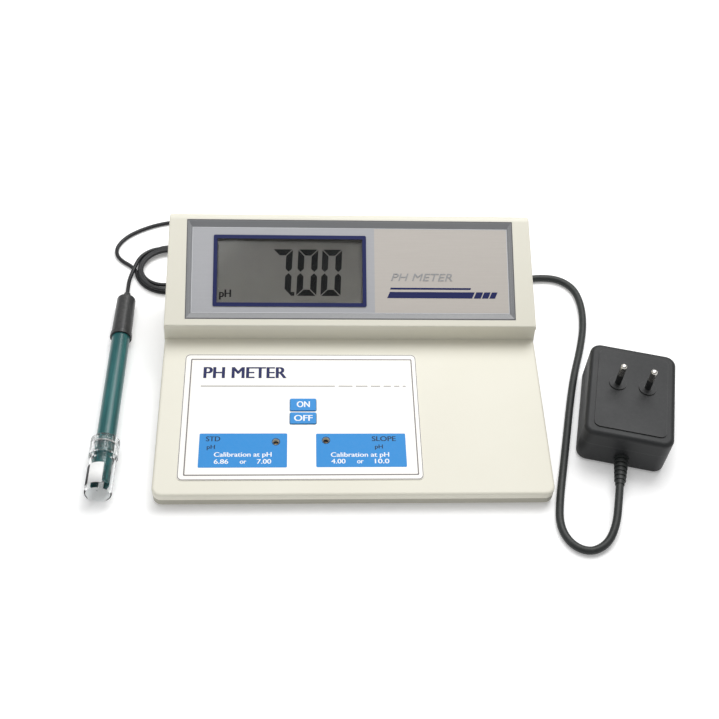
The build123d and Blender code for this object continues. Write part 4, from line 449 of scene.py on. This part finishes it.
MATERIALS = {
    "case_cover": moulded("case_cover", IVORY, (0.755, 0.73, 0.62), worn=(0.9, 0.89, 0.83), dust=0.05,
                          stain=9, dust_colour=(0.7, 0.68, 0.6)),
    # case_tray: the case's cream darkened to about half, painted shade for its front wall under the
    # deck; its stains and rubbed edges are real
    "case_tray": moulded("case_tray", (0.42, 0.405, 0.34), (0.38, 0.365, 0.3), worn=(0.55, 0.54, 0.47),
                         stain=9),
    "foot_rubber": moulded("foot_rubber", (0.02, 0.02, 0.02), (0.035, 0.033, 0.03), (0.7, 0.9), 2500),
    "screw_steel": metal("screw_steel", (0.6, 0.6, 0.58), (0.42, 0.42, 0.4)),
    "bezel_grey": moulded("bezel_grey", (0.27, 0.275, 0.285), (0.23, 0.235, 0.245), (0.35, 0.48),
                          2200, worn=(0.45, 0.45, 0.46), wear=0.8, dust=0.08),
    "fascia_print": fascia_material(),
    "window_line": moulded("window_line", NAVY, NAVY_STAINED, (0.35, 0.5), 2600, 0.08, dust=0.0,
                           Specular_IOR_Level=0.2),
    "clear_window": clear_plastic("clear_window", (0.97, 0.98, 0.97), (0.01, 0.05), 1.16),
    "display_glass": display_material(),
    "strip_rubber": moulded("strip_rubber", (0.45, 0.25, 0.38), (0.4, 0.22, 0.34), (0.6, 0.8)),
    "board_green": moulded("board_green", (0.01, 0.12, 0.04), (0.02, 0.16, 0.06), (0.25, 0.4), 700, 0.1),
    "overlay_film": moulded("overlay_film", (0.93, 0.92, 0.87), (0.9, 0.885, 0.82), (0.3, 0.42), 3200,
                            0.08, 0.8, dust=0.03, dust_colour=(0.75, 0.73, 0.66), Coat_Weight=0.15,
                            Coat_Roughness=0.3),
    "key_blue": moulded("key_blue", KEY_BLUE, KEY_BLUE_STAINED, (0.4, 0.55), 3000, 0.08,
                        worn=(0.2, 0.5, 0.85), wear=0.9, dust=0.02, Specular_IOR_Level=0.2),
    "switch_black": moulded("switch_black", BLACK, (0.02, 0.02, 0.02)),
    "trimmer_blue": moulded("trimmer_blue", (0.02, 0.06, 0.3), (0.03, 0.07, 0.33)),
    "rotor_brass": metal("rotor_brass", (0.78, 0.6, 0.28), (0.6, 0.43, 0.18)),
    "chip_black": moulded("chip_black", BLACK, (0.025, 0.025, 0.025), (0.5, 0.7), 2500),
    "capacitor_sleeve": moulded("capacitor_sleeve", (0.02, 0.02, 0.05), (0.03, 0.03, 0.07),
                                (0.2, 0.35)),
    "ribbon_grey": moulded("ribbon_grey", (0.4, 0.4, 0.41), (0.34, 0.34, 0.35)),
    "lead_grey": moulded("lead_grey", (0.06, 0.06, 0.06), (0.08, 0.08, 0.08)),
    "panel_aluminium": metal("panel_aluminium", (0.72, 0.72, 0.73), (0.6, 0.6, 0.62), (0.3, 0.5),
                             2400, 0.2),
    "nickel": metal("nickel", (0.74, 0.73, 0.7), (0.58, 0.56, 0.52), (0.12, 0.3), 4000, 0.05),
    "insulator_white": moulded("insulator_white", (0.85, 0.85, 0.83), (0.8, 0.8, 0.77),
                               (0.2, 0.35)),
    "contact_gold": metal("contact_gold", (0.9, 0.66, 0.28), (0.75, 0.5, 0.2), (0.12, 0.25)),
    "jack_black": moulded("jack_black", BLACK, (0.02, 0.02, 0.02)),
    "boot_black": moulded("boot_black", BLACK, (0.022, 0.022, 0.024), (0.4, 0.6), 2200, wear=0.3),
    "cable_black": moulded("cable_black", (0.01, 0.011, 0.013), (0.016, 0.017, 0.02), (0.34, 0.5),
                           1800, 0.12, stain=70, dust=0.03, Specular_IOR_Level=0.35),
    "electrode_head": moulded("electrode_head", (0.012, 0.013, 0.015), (0.022, 0.024, 0.027),
                              (0.28, 0.42), 1600, 0.18, worn=(0.08, 0.08, 0.085), dust=0.06,
                              stain=60),
    "tube_teal": tube_material(),
    "electrode_glass": clear_plastic("electrode_glass", (0.92, 0.97, 0.97), (0.01, 0.04), 1.5),
    "bottle_plastic": clear_plastic("bottle_plastic", (0.97, 0.98, 0.98), (0.02, 0.08), 1.14),
    "cap_clear": clear_plastic("cap_clear", (0.96, 0.97, 0.97), (0.03, 0.1), 1.2, 0.97),
    "seal_rubber": moulded("seal_rubber", (0.5, 0.5, 0.5), (0.42, 0.42, 0.42), (0.5, 0.7)),
    "cord_black": moulded("cord_black", (0.014, 0.017, 0.017), (0.022, 0.026, 0.026), (0.4, 0.58),
                          1700, 0.14, stain=50, dust=0.04, Specular_IOR_Level=0.35),
    "adaptor_black": moulded("adaptor_black", (0.012, 0.013, 0.014), (0.018, 0.019, 0.02),
                             (0.42, 0.58), 1300, 0.28, worn=(0.07, 0.07, 0.07), wear=0.8, dust=0.08,
                             stain=30,
                             dust_colour=(0.1, 0.1, 0.1), Specular_IOR_Level=0.35),
    "pin_nickel": metal("pin_nickel", (0.78, 0.76, 0.73), (0.6, 0.57, 0.52), (0.12, 0.28)),
    "core_steel": metal("core_steel", (0.4, 0.4, 0.41), (0.28, 0.28, 0.29), (0.4, 0.6)),
    "winding_tape": moulded("winding_tape", (0.6, 0.42, 0.06), (0.55, 0.37, 0.05), (0.2, 0.35)),
}
PRINT_NAVY = moulded("print_navy", NAVY, NAVY_STAINED, **PRINTED, wear=0.2, dust=0.0,
                     Specular_IOR_Level=0.2)
PRINT_BLUE = moulded("print_blue", KEY_BLUE, KEY_BLUE_STAINED, **PRINTED, dust=0.02,
                     Specular_IOR_Level=0.15)
PRINT_GREY = moulded("print_grey", (0.15, 0.13, 0.135), (0.19, 0.165, 0.17), **PRINTED, dust=0.03)
PRINT_DARK = moulded("print_dark", (0.01, 0.03, 0.07), (0.014, 0.04, 0.09), **PRINTED, dust=0.0,
                     Specular_IOR_Level=0.2)
PRINT_WHITE = moulded("print_white", (0.9, 0.92, 0.93), (0.84, 0.87, 0.9), **PRINTED, dust=0.03)
# colour of the painted shadow line in the gap round the bezel
GAP_SHADOW_DARK = moulded("gap_shadow_dark", (0.085, 0.085, 0.09), (0.11, 0.11, 0.115), **PRINTED, dust=0.0)
EDGE_PALE = moulded("edge_pale", (0.6, 0.61, 0.63), (0.54, 0.55, 0.57), **PRINTED, dust=0.0)
SEGMENT_BLACK = moulded("segment_black", (0.005, 0.005, 0.006), (0.008, 0.008, 0.009), (0.4, 0.5),
                        3000, 0.04, dust=0.0, Specular_IOR_Level=0.1)
LABEL_PAPER = moulded("label_paper", (0.93, 0.93, 0.93), (0.87, 0.87, 0.85), (0.6, 0.8), 2000, 0.2,
                      stain=120)
LABEL_EDGE = moulded("label_edge", (0.015, 0.015, 0.02), (0.03, 0.03, 0.035), (0.5, 0.7), 2000, 0.2,
                     stain=120)


def dress_cad_nodes():
    """Gives every CAD node the material of its slot."""
    for row in frame["record"]["subparts"]:
        mesh = frame["nodes"][row["node"]].data
        mesh.materials.clear()
        mesh.materials.append(MATERIALS[row["material_slot"]])


# ---------------------------------------------------------------- printed and raised flat work
def to_mesh(source, name, place, material):
    """Turns a curve or text object into a mesh object whose place is in its mesh."""
    bpy.context.scene.collection.objects.link(source)
    graph = bpy.context.evaluated_depsgraph_get()
    mesh = bpy.data.meshes.new_from_object(source.evaluated_get(graph))
    mesh.transform(place)
    mesh.name = name
    mesh.materials.clear()
    mesh.materials.append(material)
    bpy.data.objects.remove(source)
    piece = bpy.data.objects.new(name, mesh)
    bpy.context.scene.collection.objects.link(piece)
    return piece


def rectangle(x, y, width, height, radius=0.0, slant=0.0):
    """Outline round (x, y), its corners rounded; slant leans it, in widths per height."""
    points = []
    steps = 5 if radius else 1
    for sx, sy, start in ((1, 1, 0), (-1, 1, 90), (-1, -1, 180), (1, -1, 270)):
        cx = x + sx * (width / 2 - radius)
        cy = y + sy * (height / 2 - radius)
        for step in range(steps):
            turn = math.radians(start + (90 * step / (steps - 1) if steps > 1 else 45))
            px = cx + radius * math.cos(turn)
            py = cy + radius * math.sin(turn)
            points.append((px + slant * (py - y), py))
    return points


def circle(x, y, radius, steps=24):
    """Round outline."""
    return [
        (x + radius * math.cos(2 * math.pi * i / steps), y + radius * math.sin(2 * math.pi * i / steps))
        for i in range(steps)
    ]


def flat_piece(name, loops, place, lift, material, body="case", thick=PRINT):
    """Flat printed layer with these outlines in millimetres; an outline inside another is a hole."""
    curve = bpy.data.curves.new(name, "CURVE")
    curve.dimensions = "2D"
    curve.fill_mode = "BOTH"
    curve.extrude = (thick + SINK) / 2
    for loop in loops:
        spline = curve.splines.new("POLY")
        spline.points.add(len(loop) - 1)
        for point, (x, y) in zip(spline.points, loop):
            point.co = (x * MM, y * MM, 0, 1)
        spline.use_cyclic_u = True
    source = bpy.data.objects.new(name, curve)
    at = place @ Matrix.Translation((0, 0, lift + (thick - SINK) / 2))
    piece = to_mesh(source, name, at, material)
    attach(piece, body)
    return piece


def lettering(name, words, place, lift, material, body="case", thick=PRINT):
    """Lettering in one piece.

    Words are (text, left x, base y, capital height, width, slant, bold), in millimetres. A bold word
    is three layers of the same letters, each a little to the side and a hair lower.
    """
    layers = []
    for text, x, y, height, width, slant, bold in words:
        shifts = ((0, 0), (-bold, 0.003), (bold, 0.006)) if bold else ((0, 0),)
        layers += [(text, x + shift, y, height, width, slant, drop * MM) for shift, drop in shifts]
    parts = []
    for text, x, y, height, width, slant, drop in layers:
        curve = bpy.data.curves.new(name, "FONT")
        curve.body = text
        curve.size = 1.0
        curve.shear = slant
        source = bpy.data.objects.new(name, curve)
        bpy.context.scene.collection.objects.link(source)
        bpy.context.view_layer.update()
        corners = [Vector(c) for c in source.bound_box]
        left = min(c.x for c in corners)
        across = max(c.x for c in corners) - left
        squeeze = width / across
        stretch = height / LETTER_CAPITAL
        curve.extrude = (thick + SINK) / 2
        bpy.context.scene.collection.objects.unlink(source)
        corner = ((x - left * squeeze) * MM, y * MM, lift - drop + (thick - SINK) / 2)
        local = Matrix.Translation(corner) @ Matrix.Diagonal((squeeze * MM, stretch * MM, 1, 1))
        parts.append(to_mesh(source, name, place @ local, material))
    piece = join(parts, name)
    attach(piece, body)
    return piece


def join(parts, name):
    """Joins mesh objects into the first one."""
    first = parts[0]
    if len(parts) > 1:
        with bpy.context.temp_override(active_object=first, selected_editable_objects=parts):
            bpy.ops.object.join()
    first.name = name
    return first


def print_overlay():
    """Printing on the keypad overlay."""
    lift = OVERLAY_TOP
    top = lift + PRINT
    frame_line = [rectangle(-32.5, 55.75, 144, 85.5, 0.8), rectangle(-32.5, 55.75, 142.4, 83.9, 0.5)]
    flat_piece("overlay_border", frame_line, DECK, lift, PRINT_GREY)
    film_edge = [rectangle(-33, 56, 150.2, 91.7, 2.9), rectangle(-33, 56, 149.3, 90.8, 2.6)]
    flat_piece("overlay_edge", film_edge, DECK, lift, PRINT_GREY)
    left_panel = [rectangle(-68.8, 30.5, 54.4, 24, 0.8), circle(*STD_HOLE, HOLE_CLEAR)]
    flat_piece("left_calibration_panel", left_panel, DECK, lift, PRINT_BLUE)
    right_panel = [rectangle(4.3, 30.45, 56, 23.7, 0.8), circle(*SLOPE_HOLE, HOLE_CLEAR)]
    flat_piece("right_calibration_panel", right_panel, DECK, lift, PRINT_BLUE)
    holes = (STD_HOLE, SLOPE_HOLE)
    rings = [circle(*hole, radius) for hole in holes for radius in (RING_OUTER, RING_INNER)]
    flat_piece("trimmer_rings", rings, DECK, top, PRINT_DARK)
    lettering("title", [("PH METER", -95.6, 83.6, 8.6, 52.8, 0, 0.42)], DECK, lift, PRINT_NAVY)
    rule = [rectangle(-54.2, TITLE_RULE_Y, 86, TITLE_RULE_HEIGHT)]
    flat_piece("title_rule", rule, DECK, lift, PRINT_GREY)
    names = [
        ("STD", -91.8, 37, 3.4, 8.6, 0, 0.12),
        ("pH", -91, 31.6, 2.8, 4.8, 0, 0.1),
        ("SLOPE", 11.3, 36.9, 3.4, 14.8, 0, 0.12),
        ("pH", 13, 31.6, 2.8, 4.8, 0, 0.1),
    ]
    lettering("trimmer_names", names, DECK, top, PRINT_DARK)
    notes = [
        ("Calibration at pH", -86.4, 26.1, 3.1, 35.2, 0, 0.1),
        ("6.86", -86.2, 21.2, 3.1, 8.6, 0, 0.1),
        ("or", -70.4, 21.2, 3.1, 3.8, 0, 0.1),
        ("7.00", -60, 21.2, 3.1, 8.6, 0, 0.1),
        ("Calibration at pH", -14.5, 25.8, 3.1, 36, 0, 0.1),
        ("4.00", -14.3, 21.2, 3.1, 8.6, 0, 0.1),
        ("or", 1.6, 21.2, 3.1, 3.8, 0, 0.1),
        ("10.0", 12.6, 21.2, 3.1, 8.8, 0, 0.1),
    ]
    lettering("calibration_notes", notes, DECK, top, PRINT_WHITE)
    on_word = [("ON", -35.6, 61.2, 4.3, 8, 0, 0.16)]
    lettering("on_mark", on_word, DECK, KEY_TOP, PRINT_WHITE, "on_key")
    off_word = [("OFF", -37.3, 51.1, 4.2, 11.4, 0, 0.16)]
    lettering("off_mark", off_word, DECK, KEY_TOP, PRINT_WHITE, "off_key")


SEGMENTS = {"7": "abc", "0": "abcdef"}


def digit(x, y, width, height, stroke, lit):
    """Outlines of a seven-segment digit with mitred ends, its lower left corner at (x, y)."""
    gap = stroke * 0.12
    middle = y + height / 2
    left, right, top = x, x + width, y + height
    loops = []
    if "a" in lit:
        loops.append([
            (left + gap, top), (right - gap, top),
            (right - stroke - gap, top - stroke), (left + stroke + gap, top - stroke),
        ])
    if "d" in lit:
        loops.append([
            (left + gap, y), (left + stroke + gap, y + stroke),
            (right - stroke - gap, y + stroke), (right - gap, y),
        ])
    for name, outer, side, base, tip in (
        ("f", left, 1, middle, top), ("b", right, -1, middle, top),
        ("e", left, 1, middle, y), ("c", right, -1, middle, y),
    ):
        if name not in lit:
            continue
        away = 1 if tip > base else -1
        inner = outer + side * stroke
        loops.append([
            (outer, tip - away * gap), (outer, base + away * (gap + stroke / 2)),
            (outer + side * stroke / 2, base + away * gap), (inner, base + away * (gap + stroke / 2)),
            (inner, tip - away * (stroke + gap)),
        ])
    return loops


def slanted(loops, base, slope):
    """Leans outlines to the right above a base line."""
    return [[(x + slope * (y - base), y) for x, y in loop] for loop in loops]


def draw_display():
    """Digits and unit on the liquid crystal cell."""
    height, width, stroke, base = 32.0, 13.2, 4.2, 21.5
    loops = []
    for mark, x in (("7", -53.3), ("0", -36.4), ("0", -20.4)):
        loops += digit(x, base, width, height, stroke, SEGMENTS[mark])
    loops.append(rectangle(-38.9, base + 1.3, 2.4, 2.6, 0.3))
    loops = slanted(loops, base, DIGIT_SLANT)
    flat_piece("display_digits", loops, FACE, LCD_TOP, SEGMENT_BLACK)
    unit = [("pH", -86.8, 20.4, 5.2, 7.4, 0, 0.22)]
    lettering("display_unit", unit, FACE, LCD_TOP, SEGMENT_BLACK)


# ---------------------------------------------------------------- geometry nodes
def row_tree():
    """Row of blocks along X, each a little shorter than the last; grow can lean the row by a slant."""
    tree = bpy.data.node_groups.new("row_of_blocks", "GeometryNodeTree")
    face = tree.interface
    face.new_socket("Count", in_out="INPUT", socket_type="NodeSocketInt")
    for label in ("First Length", "Shrink", "Gap", "Height", "Thickness"):
        face.new_socket(label, in_out="INPUT", socket_type="NodeSocketFloat")
    face.new_socket("Finish", in_out="INPUT", socket_type="NodeSocketMaterial")
    face.new_socket("Geometry", in_out="OUTPUT", socket_type="NodeSocketGeometry")
    given, result = tree.nodes.new("NodeGroupInput"), tree.nodes.new("NodeGroupOutput")
    link = tree.links.new

    def calc(operation, first, second):
        node = tree.nodes.new("ShaderNodeMath")
        node.operation = operation
        for socket, value in zip(node.inputs, (first, second)):
            if isinstance(value, (int, float)):
                socket.default_value = value
            else:
                link(value, socket)
        return node.outputs[0]

    points = tree.nodes.new("GeometryNodePoints")
    link(given.outputs["Count"], points.inputs["Count"])
    index = tree.nodes.new("GeometryNodeInputIndex").outputs[0]
    lost = calc("MULTIPLY", index, given.outputs["Shrink"])
    length = calc("SUBTRACT", given.outputs["First Length"], lost)
    pitch = calc("ADD", given.outputs["First Length"], given.outputs["Gap"])
    before = calc("MULTIPLY", index, pitch)
    pairs = calc("MULTIPLY", calc("MULTIPLY", index, calc("SUBTRACT", index, 1.0)), 0.5)
    start = calc("SUBTRACT", before, calc("MULTIPLY", pairs, given.outputs["Shrink"]))
    centre = calc("ADD", start, calc("MULTIPLY", length, 0.5))
    spot = tree.nodes.new("ShaderNodeCombineXYZ")
    link(centre, spot.inputs[0])
    link(spot.outputs[0], points.inputs["Position"])
    size = tree.nodes.new("ShaderNodeCombineXYZ")
    link(length, size.inputs[0])
    link(given.outputs["Height"], size.inputs[1])
    link(given.outputs["Thickness"], size.inputs[2])
    cube = tree.nodes.new("GeometryNodeMeshCube")
    cube.inputs["Size"].default_value = (1, 1, 1)
    spread = tree.nodes.new("GeometryNodeInstanceOnPoints")
    link(points.outputs[0], spread.inputs["Points"])
    link(cube.outputs["Mesh"], spread.inputs["Instance"])
    link(size.outputs[0], spread.inputs["Scale"])
    real = tree.nodes.new("GeometryNodeRealizeInstances")
    link(spread.outputs[0], real.inputs[0])
    paint = tree.nodes.new("GeometryNodeSetMaterial")
    link(real.outputs[0], paint.inputs["Geometry"])
    link(given.outputs["Finish"], paint.inputs["Material"])
    link(paint.outputs[0], result.inputs[0])
    return tree


def grow(name, tree, place, body, slot, slant=0.0, **values):
    """Runs a geometry tree with these inputs and leaves a plain mesh at its place."""
    holder = bpy.data.objects.new(name, bpy.data.meshes.new(name))
    bpy.context.scene.collection.objects.link(holder)
    modifier = holder.modifiers.new("tree", "NODES")
    modifier.node_group = tree
    keys = {item.name: item.identifier for item in tree.interface.items_tree if item.in_out == "INPUT"}
    for label, value in values.items():
        modifier[keys[label.replace("_", " ")]] = value
    graph = bpy.context.evaluated_depsgraph_get()
    mesh = bpy.data.meshes.new_from_object(holder.evaluated_get(graph))
    shear = Matrix.Identity(4)
    shear[0][1] = slant
    mesh.transform(place @ shear)
    bpy.data.objects.remove(holder)
    piece = bpy.data.objects.new(name, mesh)
    bpy.context.scene.collection.objects.link(piece)
    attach(piece, body)
    return piece


def edge_fascia():
    """Painted shadow: a dark line round the outside of the bezel stands for the shade in the gap round
    it; a pale line runs round the plate inside it.
    """
    outer = [rectangle(0, 38.5, 216.8, 67.8), rectangle(0, 38.5, 215.8, 66.8)]
    # painted shadow: a dark ring where the gap round the bezel would lie in shade
    flat_piece("bezel_edge", outer, FACE, 0, GAP_SHADOW_DARK)
    inner = [rectangle(0, 38.5, 210.3, 58.8), rectangle(0, 38.5, 209.4, 57.9)]
    flat_piece("plate_edge", inner, FACE, PLATE_TOP, EDGE_PALE)


def printed_rows():
    """Dashes after the title's rule, and the slanted bar with its short blocks on the plate."""
    tree = row_tree()
    at = DECK @ Matrix.Translation((-8.9 * MM, TITLE_RULE_Y * MM, OVERLAY_TOP + PRINT / 2))
    grow("title_dashes", tree, at, "case", "overlay_film", Count=6, First_Length=9 * MM, Shrink=1.4 * MM,
         Gap=2.1 * MM, Height=TITLE_RULE_HEIGHT * MM, Thickness=PRINT + SINK, Finish=PRINT_GREY)
    bar = [rectangle(52.9, PLATE_BAR_Y, 56.6, PLATE_BAR_HEIGHT, 0, PLATE_SLANT)]
    flat_piece("fascia_bar", bar, FACE, PLATE_TOP, PRINT_NAVY, thick=RAISED)
    line = [rectangle(52.7, 26.2, 53.6, 1.2, 0, PLATE_SLANT)]
    flat_piece("fascia_line", line, FACE, PLATE_TOP, PRINT_NAVY, thick=RAISED)
    at = FACE @ Matrix.Translation((82.3 * MM, PLATE_BAR_Y * MM, PLATE_TOP + RAISED / 2))
    grow("fascia_blocks", tree, at, "case", "window_line", slant=PLATE_SLANT, Count=3,
         First_Length=4.6 * MM, Shrink=0.4 * MM, Gap=0.8 * MM, Height=PLATE_BAR_HEIGHT * MM,
         Thickness=RAISED, Finish=PRINT_NAVY)
    lettering("fascia_name", [("PH METER", 26.5, 31.6, 5.0, 40.7, 0.25, 0)], FACE, PLATE_TOP,
              MATERIALS["bezel_grey"], thick=2 * RAISED)


ELECTRODE_TILT = 0.01988         # radians, cable end down
ELECTRODE_END = (-155.0, -90.5, 9.833)
BOTTLE_RADIUS = 8.3
ELECTRODE = (
    Matrix.Translation(Vector(ELECTRODE_END) * MM + Vector((CASE_X, 0, 0)))
    @ Matrix.Rotation(-ELECTRODE_TILT, 4, "X")
)


def curved_patch(name, start, end, first, last, lift, material):
    """Paper wrapped on the bottle from start to end along it, between two angles in degrees."""
    steps = 24
    points = []
    for radius in (BOTTLE_RADIUS - 0.02, BOTTLE_RADIUS + lift):
        for along in (start, end):
            for step in range(steps + 1):
                angle = math.radians(first + (last - first) * step / steps)
                across, above = radius * math.cos(angle), radius * math.sin(angle)
                points.append((across * MM, along * MM, above * MM))
    row = steps + 1
    faces = []
    for i in range(steps):
        faces.append((i, i + row, i + row + 1, i + 1))
        faces.append((2 * row + i, 2 * row + i + 1, 3 * row + i + 1, 3 * row + i))
        faces.append((i, i + 1, 2 * row + i + 1, 2 * row + i))
        faces.append((row + i, 3 * row + i, 3 * row + i + 1, row + i + 1))
    faces.append((0, 2 * row, 3 * row, row))
    faces.append((steps, row + steps, 3 * row + steps, 2 * row + steps))
    mesh = bpy.data.meshes.new(name)
    mesh.from_pydata(points, [], faces)
    mesh.transform(ELECTRODE)
    mesh.materials.append(material)
    for face in mesh.polygons:
        face.use_smooth = face.index < 4 * steps and face.index % 4 < 2
    piece = bpy.data.objects.new(name, mesh)
    bpy.context.scene.collection.objects.link(piece)
    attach(piece, "bottle")
    return piece


def label_bottle():
    """Blank paper label on the bottle, with a dark band down its left edge."""
    curved_patch("bottle_label", 4.6, 19.2, 70, 172, 0.1, LABEL_PAPER)
    curved_patch("bottle_label_band", 4.8, 19.0, 134, 171, 0.13, LABEL_EDGE)


# ---------------------------------------------------------------- cords
def case_points(points):
    """Points given in millimetres from the middle of the case, as vectors in metres."""
    return [Vector((CASE_X + x * MM, y * MM, z * MM)) for x, y, z in points]


def coil_turns(centre, lays, start_turn, steps=14):
    """Points of a coil wound anticlockwise from start_turn in degrees.

    Lays are (turns so far, radius, height), and the coil passes from each to the next.
    """
    points = []
    total = round(lays[-1][0] * steps)
    for index in range(total + 1):
        turned = index / steps
        for (t0, r0, z0), (t1, r1, z1) in zip(lays, lays[1:]):
            if turned <= t1 + 1e-6:
                part = (turned - t0) / (t1 - t0)
                break
        part = part * part * (3 - 2 * part)
        radius = r0 + (r1 - r0) * part
        angle = math.radians(start_turn) + 2 * math.pi * turned
        sway_x = 0.5 * math.sin(1.7 * turned + 0.6)
        sway_y = 0.5 * math.cos(2.3 * turned)
        points.append(
            (
                centre[0] + sway_x + radius * math.cos(angle),
                centre[1] + sway_y + radius * math.sin(angle),
                z0 + (z1 - z0) * part,
            )
        )
    return points


def spline_object(name, points, diameter, material):
    """Open smooth spline through the hollow of its route's points, with a round section."""
    curve = bpy.data.curves.new(name, "CURVE")
    curve.dimensions = "3D"
    spline = curve.splines.new("NURBS")
    spline.points.add(len(points) - 1)
    for point, place in zip(spline.points, points):
        point.co = (*place, 1)
    spline.order_u = 3
    spline.use_endpoint_u = True
    spline.resolution_u = 6
    curve.bevel_depth = diameter / 2
    curve.bevel_resolution = 5
    curve.use_fill_caps = True
    curve.materials.append(material)
    piece = bpy.data.objects.new(name, curve)
    bpy.context.scene.collection.objects.link(piece)
    return piece


CABLE_DIAMETER = 2.8
CORD_DIAMETER = 5.0
CABLE_OUT = [
    (-84, 114.8, 26), (-84.6, 127, 24.6), (-88.5, 138.5, 18.5), (-97, 147.5, 10.5),
    (-109.5, 153, 4.4), (-124, 155.4, 1.6), (-139, 152.4, 1.5), (-152.5, 146, 1.5),
    (-163.2, 137.6, 1.5), (-169, 126.5, 1.5), (-166.4, 115.5, 1.6),
]
CABLE_COIL = (-129, 105.5)
CABLE_LAYS = [
    (0, 23.9, 1.6), (0.8, 23.4, 1.5), (1.2, 19.8, 1.5), (1.9, 20.4, 1.5), (2.3, 15.6, 1.5),
    (2.8, 16.2, 4.3), (3.3, 23.8, 4.4), (3.7, 18.2, 4.4), (4.2, 22.6, 4.4), (4.6, 15.4, 4.4),
    (5, 23.9, 4.3),
]
CABLE_IN = [(-155.6, 93, 3.8), (-155.3, 84.8, 5.6), (-155, 76.46, 6.51)]
CORD_OUT = [
    (92, 106.1, 22), (91.4, 120.5, 21.2), (86.2, 133, 16.8), (75.6, 140.6, 13.5), (63, 141.9, 12),
]
CORD_COIL = (46, 116)
CORD_LAYS = [
    (0, 28.4, 12.6), (0.8, 28.4, 12.6), (1, 23.4, 12.6), (1.8, 23.4, 12.6), (2, 23.4, 7.6),
    (2.8, 23.4, 7.6), (3, 28.4, 7.6), (3.8, 28.4, 7.6), (4, 23.4, 2.6), (4.8, 23.4, 2.6),
    (5, 28.4, 2.6), (5.5, 28.4, 2.6),
]
CORD_IN = [
    (60.5, 90.1, 2.7), (84, 89, 2.6), (104.5, 90.6, 2.6), (123, 95.3, 2.6), (140.8, 98.6, 2.6),
    (155.2, 97.2, 2.6), (165.2, 88.2, 2.6), (168.2, 73, 2.6), (166.6, 53, 2.6), (160.6, 31, 2.6),
    (152.6, 8.5, 2.6), (146.2, -14.5, 2.6), (140, -40, 2.6), (133.6, -66, 2.6), (127.6, -90, 2.6),
    (124.4, -108.6, 2.6), (129.6, -122, 2.6), (140.6, -127.4, 2.6), (152, -122, 3.4),
    (158.6, -110.5, 6), (161.9, -97, 8.6), (165, -84.03, 9),
]


def lay_cables():
    """The electrode's cable and the adaptor's cord, each one length with its coil."""
    route = CABLE_OUT + coil_turns(CABLE_COIL, CABLE_LAYS, 180) + CABLE_IN
    thickness = CABLE_DIAMETER * MM
    finish = MATERIALS["cable_black"]
    cable = spline_object("electrode_cable_line", case_points(route), thickness, finish)
    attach(cable, "case")
    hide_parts("electrode_cable", "electrode_cable_coil", "electrode_cable_end")
    route = CORD_OUT + coil_turns(CORD_COIL, CORD_LAYS, 90) + CORD_IN
    thickness = CORD_DIAMETER * MM
    finish = MATERIALS["cord_black"]
    cord = spline_object("power_cord_line", case_points(route), thickness, finish)
    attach(cord, "case")
    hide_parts("power_cord_start", "power_cord_coil", "power_cord")


# ---------------------------------------------------------------- floor
def lay_floor():
    """Plain pale table."""
    mesh = bpy.data.meshes.new("floor")
    side = FLOOR_SIDE
    corners = [(-side, -side, 0), (side, -side, 0), (side, side, 0), (-side, side, 0)]
    mesh.from_pydata(corners, [], [(0, 1, 2, 3)])
    material, tree, shader = start_material(
        "floor_paper", Roughness=0.9, Specular_IOR_Level=0.1, Emission_Color=(1, 1, 1, 1),
        Emission_Strength=0.2,
    )
    texture = place_group(tree, GRAIN, Grain_Scale=600)
    tone = mix_colours(tree, texture.outputs["Stain"], (0.95, 0.95, 0.95), (0.94, 0.94, 0.94))
    tree.links.new(tone, shader.inputs["Base Color"])
    mesh.materials.append(material)
    floor = bpy.data.objects.new("floor", mesh)
    bpy.context.scene.collection.objects.link(floor)


place_camera()
place_lights()
lay_floor()
dress_cad_nodes()
lay_cables()
print_overlay()
draw_display()
edge_fascia()
printed_rows()
label_bottle()
